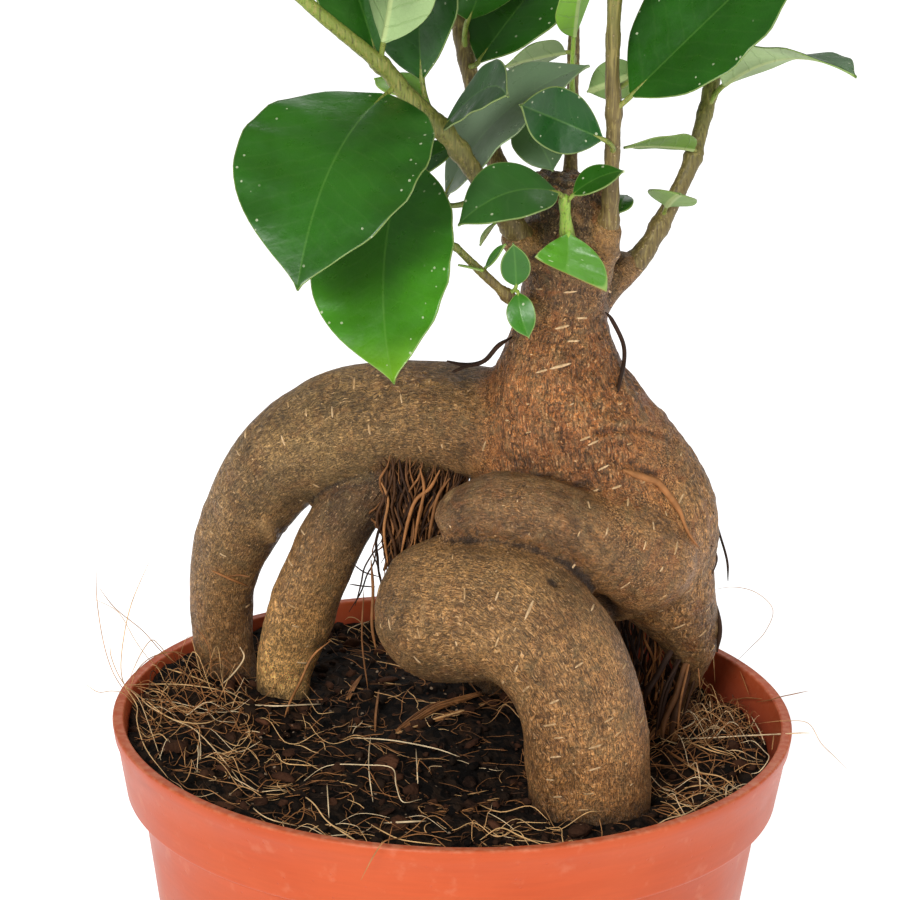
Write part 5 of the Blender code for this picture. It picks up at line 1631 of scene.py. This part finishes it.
def add_blade(skin, leaf, tone, glow, bloom, rng):
    """A thin blade with a slightly wavy margin and a raised rib underneath."""
    half_width, length = leaf[4], (Vector(leaf[3]) - Vector(leaf[2])).length
    us = np.array([-u for u in BLADE_COLUMNS[:0:-1]] + BLADE_COLUMNS)
    ts = np.linspace(0.0, 1.0, BLADE_ROWS)
    ts = 0.65 * ts + 0.35 * (0.5 - 0.5 * np.cos(math.pi * ts))
    middle = [[blade_point(leaf, t, u, soft_share, EDGE_HALF_WIDTH)[0] for u in us] for t in ts]
    middle = np.array(middle)
    normal = np.cross(np.gradient(middle, axis=1), np.gradient(middle, axis=0))
    normal /= np.linalg.norm(normal, axis=2)[:, :, None] + 1e-9
    widths = half_width * np.array([soft_share(t) for t in ts])[:, None]
    reach, rib = np.maximum(widths, EDGE_HALF_WIDTH), np.abs(us) * widths
    edge = reach - rib
    along = np.broadcast_to((ts * length)[:, None], rib.shape)
    wave, start = rng.uniform(6.0, 9.0), rng.uniform(0, 9)
    ripple = np.sin(math.tau * along / wave + start + np.sign(us) * 1.3)
    swell = 0.028 * half_width * ripple * np.abs(us) ** 1.6 * np.sin(math.pi * ts)[:, None]
    quilt = 0.004 * np.sin(math.tau * (along - VEIN_SLANT * rib) / VEIN_SPACING)
    quilt = quilt * np.sin(math.pi * np.abs(us))
    middle = middle + normal * (swell + quilt * min(1.0, half_width / 8))[:, :, None]
    half = BLADE_HALF_THICKNESS * (1.0 - 0.45 * np.abs(us) ** 4) * np.ones((BLADE_ROWS, 1))
    ridge = RIB_HEIGHT * hump(rib, RIB_WIDTH) * (1.0 - 0.75 * ts[:, None])
    under = half + ridge * min(1.0, half_width / 6)
    top = middle + normal * half[:, :, None]
    low = middle - normal * under[:, :, None]
    rows, columns = middle.shape[:2]
    count = rows * columns
    sheet = grid_faces(rows, columns, closed=False)
    i, j = np.arange(rows - 1), np.arange(columns - 1)
    left = np.stack([i * columns, (i + 1) * columns, (i + 1) * columns + count, i * columns + count], 1)
    right = (left + columns - 1)[:, ::-1]
    last = (rows - 1) * columns + j
    first = np.stack([j, j + count, j + 1 + count, j + 1], 1)[:, ::-1]
    end = np.stack([last, last + count, last + 1 + count, last + 1], 1)
    torn = np.zeros((rows, columns))
    if len(leaf) > 8:
        torn = np.clip((ts[:, None] - 0.97) / 0.03, 0.0, 1.0) * np.ones(columns)
    flat = np.stack([along, np.sign(us) * rib, np.full(rib.shape, rng.uniform(0, 90.0))], 2).reshape(-1, 3)
    shared = {"rib": rib, "edge": edge, "along": along + rng.uniform(0, 3.0), "torn": torn}
    shared |= {"tone": tone + glow * (along / length) ** 2, "bloom": np.full(rib.shape, bloom)}
    values = {name: np.tile(value.ravel(), 2) for name, value in shared.items()}
    faces = [sheet, sheet[:, ::-1] + count, left, right, first, end]
    cloud = np.concatenate([top.reshape(-1, 3), low.reshape(-1, 3)])
    skin.add(cloud, faces, [0, 1, 0, 0, 0, 0], leaf_place=np.tile(flat, (2, 1)), **values)


def add_stalk(skin, leaf, tone):
    """A leaf's stalk, thicker where it joins the stem, and running on into the midrib."""
    base = Vector(leaf[2])
    joint = nearest_on(STEMS[leaf[0]], base - Vector((0, 0, leaf[1])))
    first = blade_point(leaf, 0.0, 0.0)[0]
    ahead = (blade_point(leaf, 0.04, 0.0)[0] - first).normalized()
    bend = base - ahead * (0.45 * (base - joint).length)
    radius = min(STALK_RADIUS, 0.32 + 0.03 * leaf[4])
    shares = np.linspace(0.0, 1.0, 12)
    path = [joint * (1 - t) ** 2 + bend * (2 * t * (1 - t)) + base * t**2 for t in shares]
    path += [blade_point(leaf, t, 0.0)[0] for t in (0.03, 0.07, 0.12)]
    radii = [radius * (1.35 - 0.5 * min(1.0, 2.5 * t)) for t in shares]
    radii += [0.7 * radius, 0.5 * radius, 0.2 * radius]
    add_tube(skin, np.array(path), radii, 10, WOOD, True, **BLANK, tone=max(tone, 0.0) + STALK_TONE)


def add_stem(skin, name, leaves, rng):
    """A stem with a swollen node and two scars at each leaf, and a long bud at its tip."""
    points, radii = route_arrays(STEMS[name], 12)
    along = frames_along(points)[3]
    joints = [nearest_on(STEMS[name], Vector(leaf[2]) - Vector((0, 0, leaf[1]))) for leaf in leaves]
    stops = [along[np.linalg.norm(points - np.array(joint), axis=1).argmin()] for joint in joints]
    extra = [along[-1] * share for share in (0.16, 0.3, 0.42)]
    fine = np.linspace(0.0, along[-1], int(along[-1] / 0.45))
    path = np.stack([np.interp(fine, along, points[:, axis]) for axis in range(3)], 1)
    girth = np.interp(fine, along, radii)
    girth = girth * (1.0 + 0.55 * np.interp(fine, [0.0, 5.0, 10.0, 14.0], [1.0, 1.0, 0.35, 0.0]))
    for stop in stops + extra:
        girth = girth + 0.14 * girth * hump(fine - stop, 1.3)
        girth = girth + 0.05 * hump(fine - stop - 1.2, 0.3) - 0.03 * hump(fine - stop - 0.6, 0.3)
    girth = girth * (1.0 + 0.02 * np.sin(fine * 1.7) + 0.015 * np.sin(fine * 4.1))
    young = STEM_TONES[name]
    tone = np.interp(fine / fine[-1], [0.0, 0.25, 0.6, 1.0], [-1.2, -0.6, 0.25, 1.2]) + young
    add_tube(skin, path, girth, 16, WOOD, True, **BLANK, tone=with_ends(tone))
    tip, heading = Vector(path[-1].tolist()), Vector((path[-1] - path[-4]).tolist()).normalized()
    sway = Vector((rng.uniform(-0.2, 0.2), rng.uniform(-0.2, 0.2), 0.0))
    size = 6.5 if len(STEMS[name]) > 6 else 2.6
    shares = np.linspace(0.0, 1.0, len(BUD_SHAPE))
    bud = [tip + heading * (size * t) + sway * (5 * t * t) for t in shares]
    swell = girth[-1] * np.array(BUD_SHAPE)
    if name != "shoot_front":
        add_tube(skin, np.array(bud), swell, 12, WOOD, **BLANK, tone=BUD_TONE + young)


def make_leafy_stems():
    """Each stem with the leaves that grow on it."""
    rng = random.Random(CROWN_SEED + 1)
    leaves = crown_leaves()
    looks = [leaf_top_look(), leaf_under_look(), stem_look()]
    tones = list(LEAF_TONES)
    for leaf in leaves[len(LEAF_TONES):]:
        height = leaf[2][2]
        tones.append(rng.uniform(-0.75, 0.25) + max(0.0, (height - 262.0) / 24.0))
    for name in STEMS:
        skin = Skin()
        own = [(i, leaf) for i, leaf in enumerate(leaves) if leaf[0] == name]
        add_stem(skin, name, [leaf for _, leaf in own], rng)
        for i, leaf in own:
            add_stalk(skin, leaf, tones[i])
            add_blade(skin, leaf, tones[i], LEAF_GLOW.get(i, 0.0), LEAF_PAINTED_SHEEN.get(i, 0.0), rng)
        add_piece(name + "_leaves", skin.mesh(name + "_leaves"), looks, "leaf_and_stem", name)


def add_strand(skin, points, radius, tone, steps, sides=5):
    """A fibre or rootlet through a few points, thinner at its ends."""
    path, radii = route_arrays([(*point, radius) for point in points], steps)
    shares = np.linspace(0.0, 1.0, len(path))
    taper = np.minimum(1.0, 0.35 + 3.0 * np.minimum(shares, 1.0 - shares))
    add_tube(skin, path, radii * taper, sides, tone=tone)


def over_photo(stock, point):
    """The place of a point of LOOSE_ROOTS, or of one of SEEN_FIBRES that hangs free."""
    if len(point) == 2:
        hit, normal = stock.seen(point)
        return hit + normal * LOOSE_LIFT if hit is not None else None
    start, ray = photo_ray(point)
    return start + ray * ((point[2] - start.y) / ray.y)


def make_loose_roots(stock):
    """Aerial roots, the curtain of rootlets under the arch and the thin roots at the right foot."""
    rng = random.Random(ROOT_SEED + 1)
    skin = Skin()
    for radius, tone, points in LOOSE_ROOTS:
        path = [over_photo(stock, point) for point in points]
        path = [tuple(place) for place in path if place is not None]
        if len(path) > 1:
            add_strand(skin, path, radius, tone, 6, 8)
    for number, across, deep, level, highest, ends, girths, tones, (middle, gather) in CURTAINS:
        for i in range(number):
            x, y = rng.uniform(*across), rng.uniform(*deep)
            top, _, _, _ = stock.tree.ray_cast(Vector((x, y, level)), Vector((0.0, 0.0, 1.0)))
            if top is None or top.z > highest or stock.distance((x, y, level)) < 0:
                continue
            foot = rng.uniform(*ends) if ends else float(soil_top(x, y)) - 1.0
            lean, sway = rng.uniform(-1.5, 1.5) + gather * (x - middle), rng.uniform(0.5, 1.3)
            path = []
            for step in range(CURTAIN_STEPS + 1):
                share = step / CURTAIN_STEPS
                z = top.z + 1.2 + (foot - top.z - 1.2) * share
                drift = sway * math.sin((5.0 + i % 5) * share + i)
                drift += 0.25 * math.sin(17.0 * share + 3.0 * i)
                weave = 0.7 * sway * math.sin(8.0 * share + 2.0 * i)
                path.append((x - lean * share + drift, y + share + weave, z))
            girth = rng.uniform(*girths)
            add_strand(skin, path, girth, rng.choice(tones), 2, 7 if girth > 0.5 else 5)
    add_piece("loose_roots", skin.mesh("loose_roots"), [fibre_look()], "bark")


def crawl(stock, rng, place, heading, count, step, bend, high):
    """Points of a fibre that wanders over the mix in low loops, until it meets the wall or a root."""
    x, y = place
    phase, curl = rng.uniform(0, 3), rng.gauss(0.0, bend / 2)
    points = []
    for i in range(count):
        place = laid(x, y, 0.3 + high * math.sin(0.5 * i + phase) ** 2)
        if math.hypot(x, y) > soil_reach(place[2]) - 0.5 or not stock.clear(place, 0.15):
            break
        points.append(place)
        heading += curl + rng.gauss(0.0, bend)
        x, y = x + step * math.cos(heading), y + step * math.sin(heading)
    return points


def on_mix(stock, pixel, lift):
    """Where the camera's ray through a pixel comes to the mix, or to the pot's wall or a root over it."""
    start, ray = photo_ray(pixel)
    reached = None
    for step in range(40):
        z = POT_HEIGHT - 0.3 * step
        place = start + ray * ((z - start.z) / ray.z)
        radius = math.hypot(place.x, place.y)
        outward = place.x * ray.x + place.y * ray.y > 0
        if reached is not None and outward and radius > soil_reach(z) - WALL_ROOM:
            break
        if radius < soil_reach(z) - WALL_ROOM and stock.clear(place, 0.1):
            reached = place
        if z < float(soil_top(place.x, place.y)) + lift:
            break
    return reached


def drawn_tone(rng, middle, spread, least=0.0):
    """A tone drawn round a middle one, and kept from least to 1."""
    return min(1.0, max(least, rng.gauss(middle, spread)))


def make_fibres(stock):
    """Coir and fine roots on the mix: a tangle by rule, denser clumps, and the photograph's own."""
    rng = random.Random(SOIL_SEED + 1)
    skin = Skin()
    for number, fewest, most, longest, bend, highest, middle, bare in FIBRE_KINDS:
        made = 0
        while made < number:
            at_left = rng.random() < LEFT_SHARE
            turn = rng.gauss(math.pi, LEFT_SPREAD) if at_left else rng.uniform(0, math.tau)
            radius = (RIM_RADIUS - FIBRE_MARGIN) * math.sqrt(rng.random())
            if radius < bare * RIM_RADIUS and rng.random() < BARE_SHARE:
                continue
            start = (radius * math.cos(turn), radius * math.sin(turn))
            step, high = longest * rng.uniform(0.5, 1.0), highest * rng.random() ** 2
            count = rng.randint(fewest, most)
            points = crawl(stock, rng, start, rng.uniform(0, math.tau), count, step, bend, high)
            if len(points) >= fewest - 1:
                tone = drawn_tone(rng, middle, TONE_SPREADS[0])
                add_strand(skin, points, rng.uniform(*FIBRE_RADII), tone, 2)
                made += 1
    for x, y, spread, number, aim, middle, highest in FIBRE_CLUMPS:
        for _ in range(number):
            start = (x + rng.gauss(0, 0.4 * spread), y + rng.gauss(0, spread))
            heading = math.radians(rng.gauss(aim, CLUMP_SPREAD))
            count, step = rng.randint(*CLUMP_COUNTS), rng.uniform(*CLUMP_STEPS)
            high = rng.uniform(0.0, highest)
            points = crawl(stock, rng, start, heading, count, step, CLUMP_BEND, high)
            if len(points) > 3:
                radius = rng.uniform(*FIBRE_RADII)
                add_strand(skin, points, radius, drawn_tone(rng, middle, TONE_SPREADS[1]), 2)
    for radius, tone, pixels in SEEN_FIBRES:
        path = []
        for i, point in enumerate(pixels):
            lift = FIBRE_LIFT + 1.4 * math.sin(math.pi * i / (len(pixels) - 1))
            path.append(over_photo(stock, point) if len(point) == 3 else on_mix(stock, point, lift))
        path = [tuple(place) for place in path if place is not None]
        if len(path) > 1:
            add_strand(skin, path, radius, tone, 5)
    for half, middle, number, pixels in SEEN_STRIPS:
        path = [on_mix(stock, pixel, FIBRE_LIFT) for pixel in pixels]
        bows = [0.35 + 0.65 * math.sin(math.pi * i / (len(path) - 1)) for i in range(len(path))]
        for _ in range(number):
            across = [rng.uniform(-half, half) for _ in range(2)]
            away = Vector((*across, rng.uniform(-0.1, 0.2 + half)))
            wander = [Vector([rng.gauss(0.0, 0.12) for _ in range(3)]) for _ in path]
            points = [tuple(place + away * bow + step) for place, bow, step in zip(path, bows, wander)]
            radius = rng.uniform(*HUSK_RADII)
            add_strand(skin, points, radius, drawn_tone(rng, middle, TONE_SPREADS[2], HUSK_DARKEST), 4)
    add_piece("coir_fibres", skin.mesh("coir_fibres"), [fibre_look()], "potting_mix")


def main():
    add_camera()
    add_studio()
    make_pot()
    stock = make_stock()
    make_pores(stock)
    make_loose_roots(stock)
    make_soil(stock)
    make_fibres(stock)
    make_leafy_stems()


main()
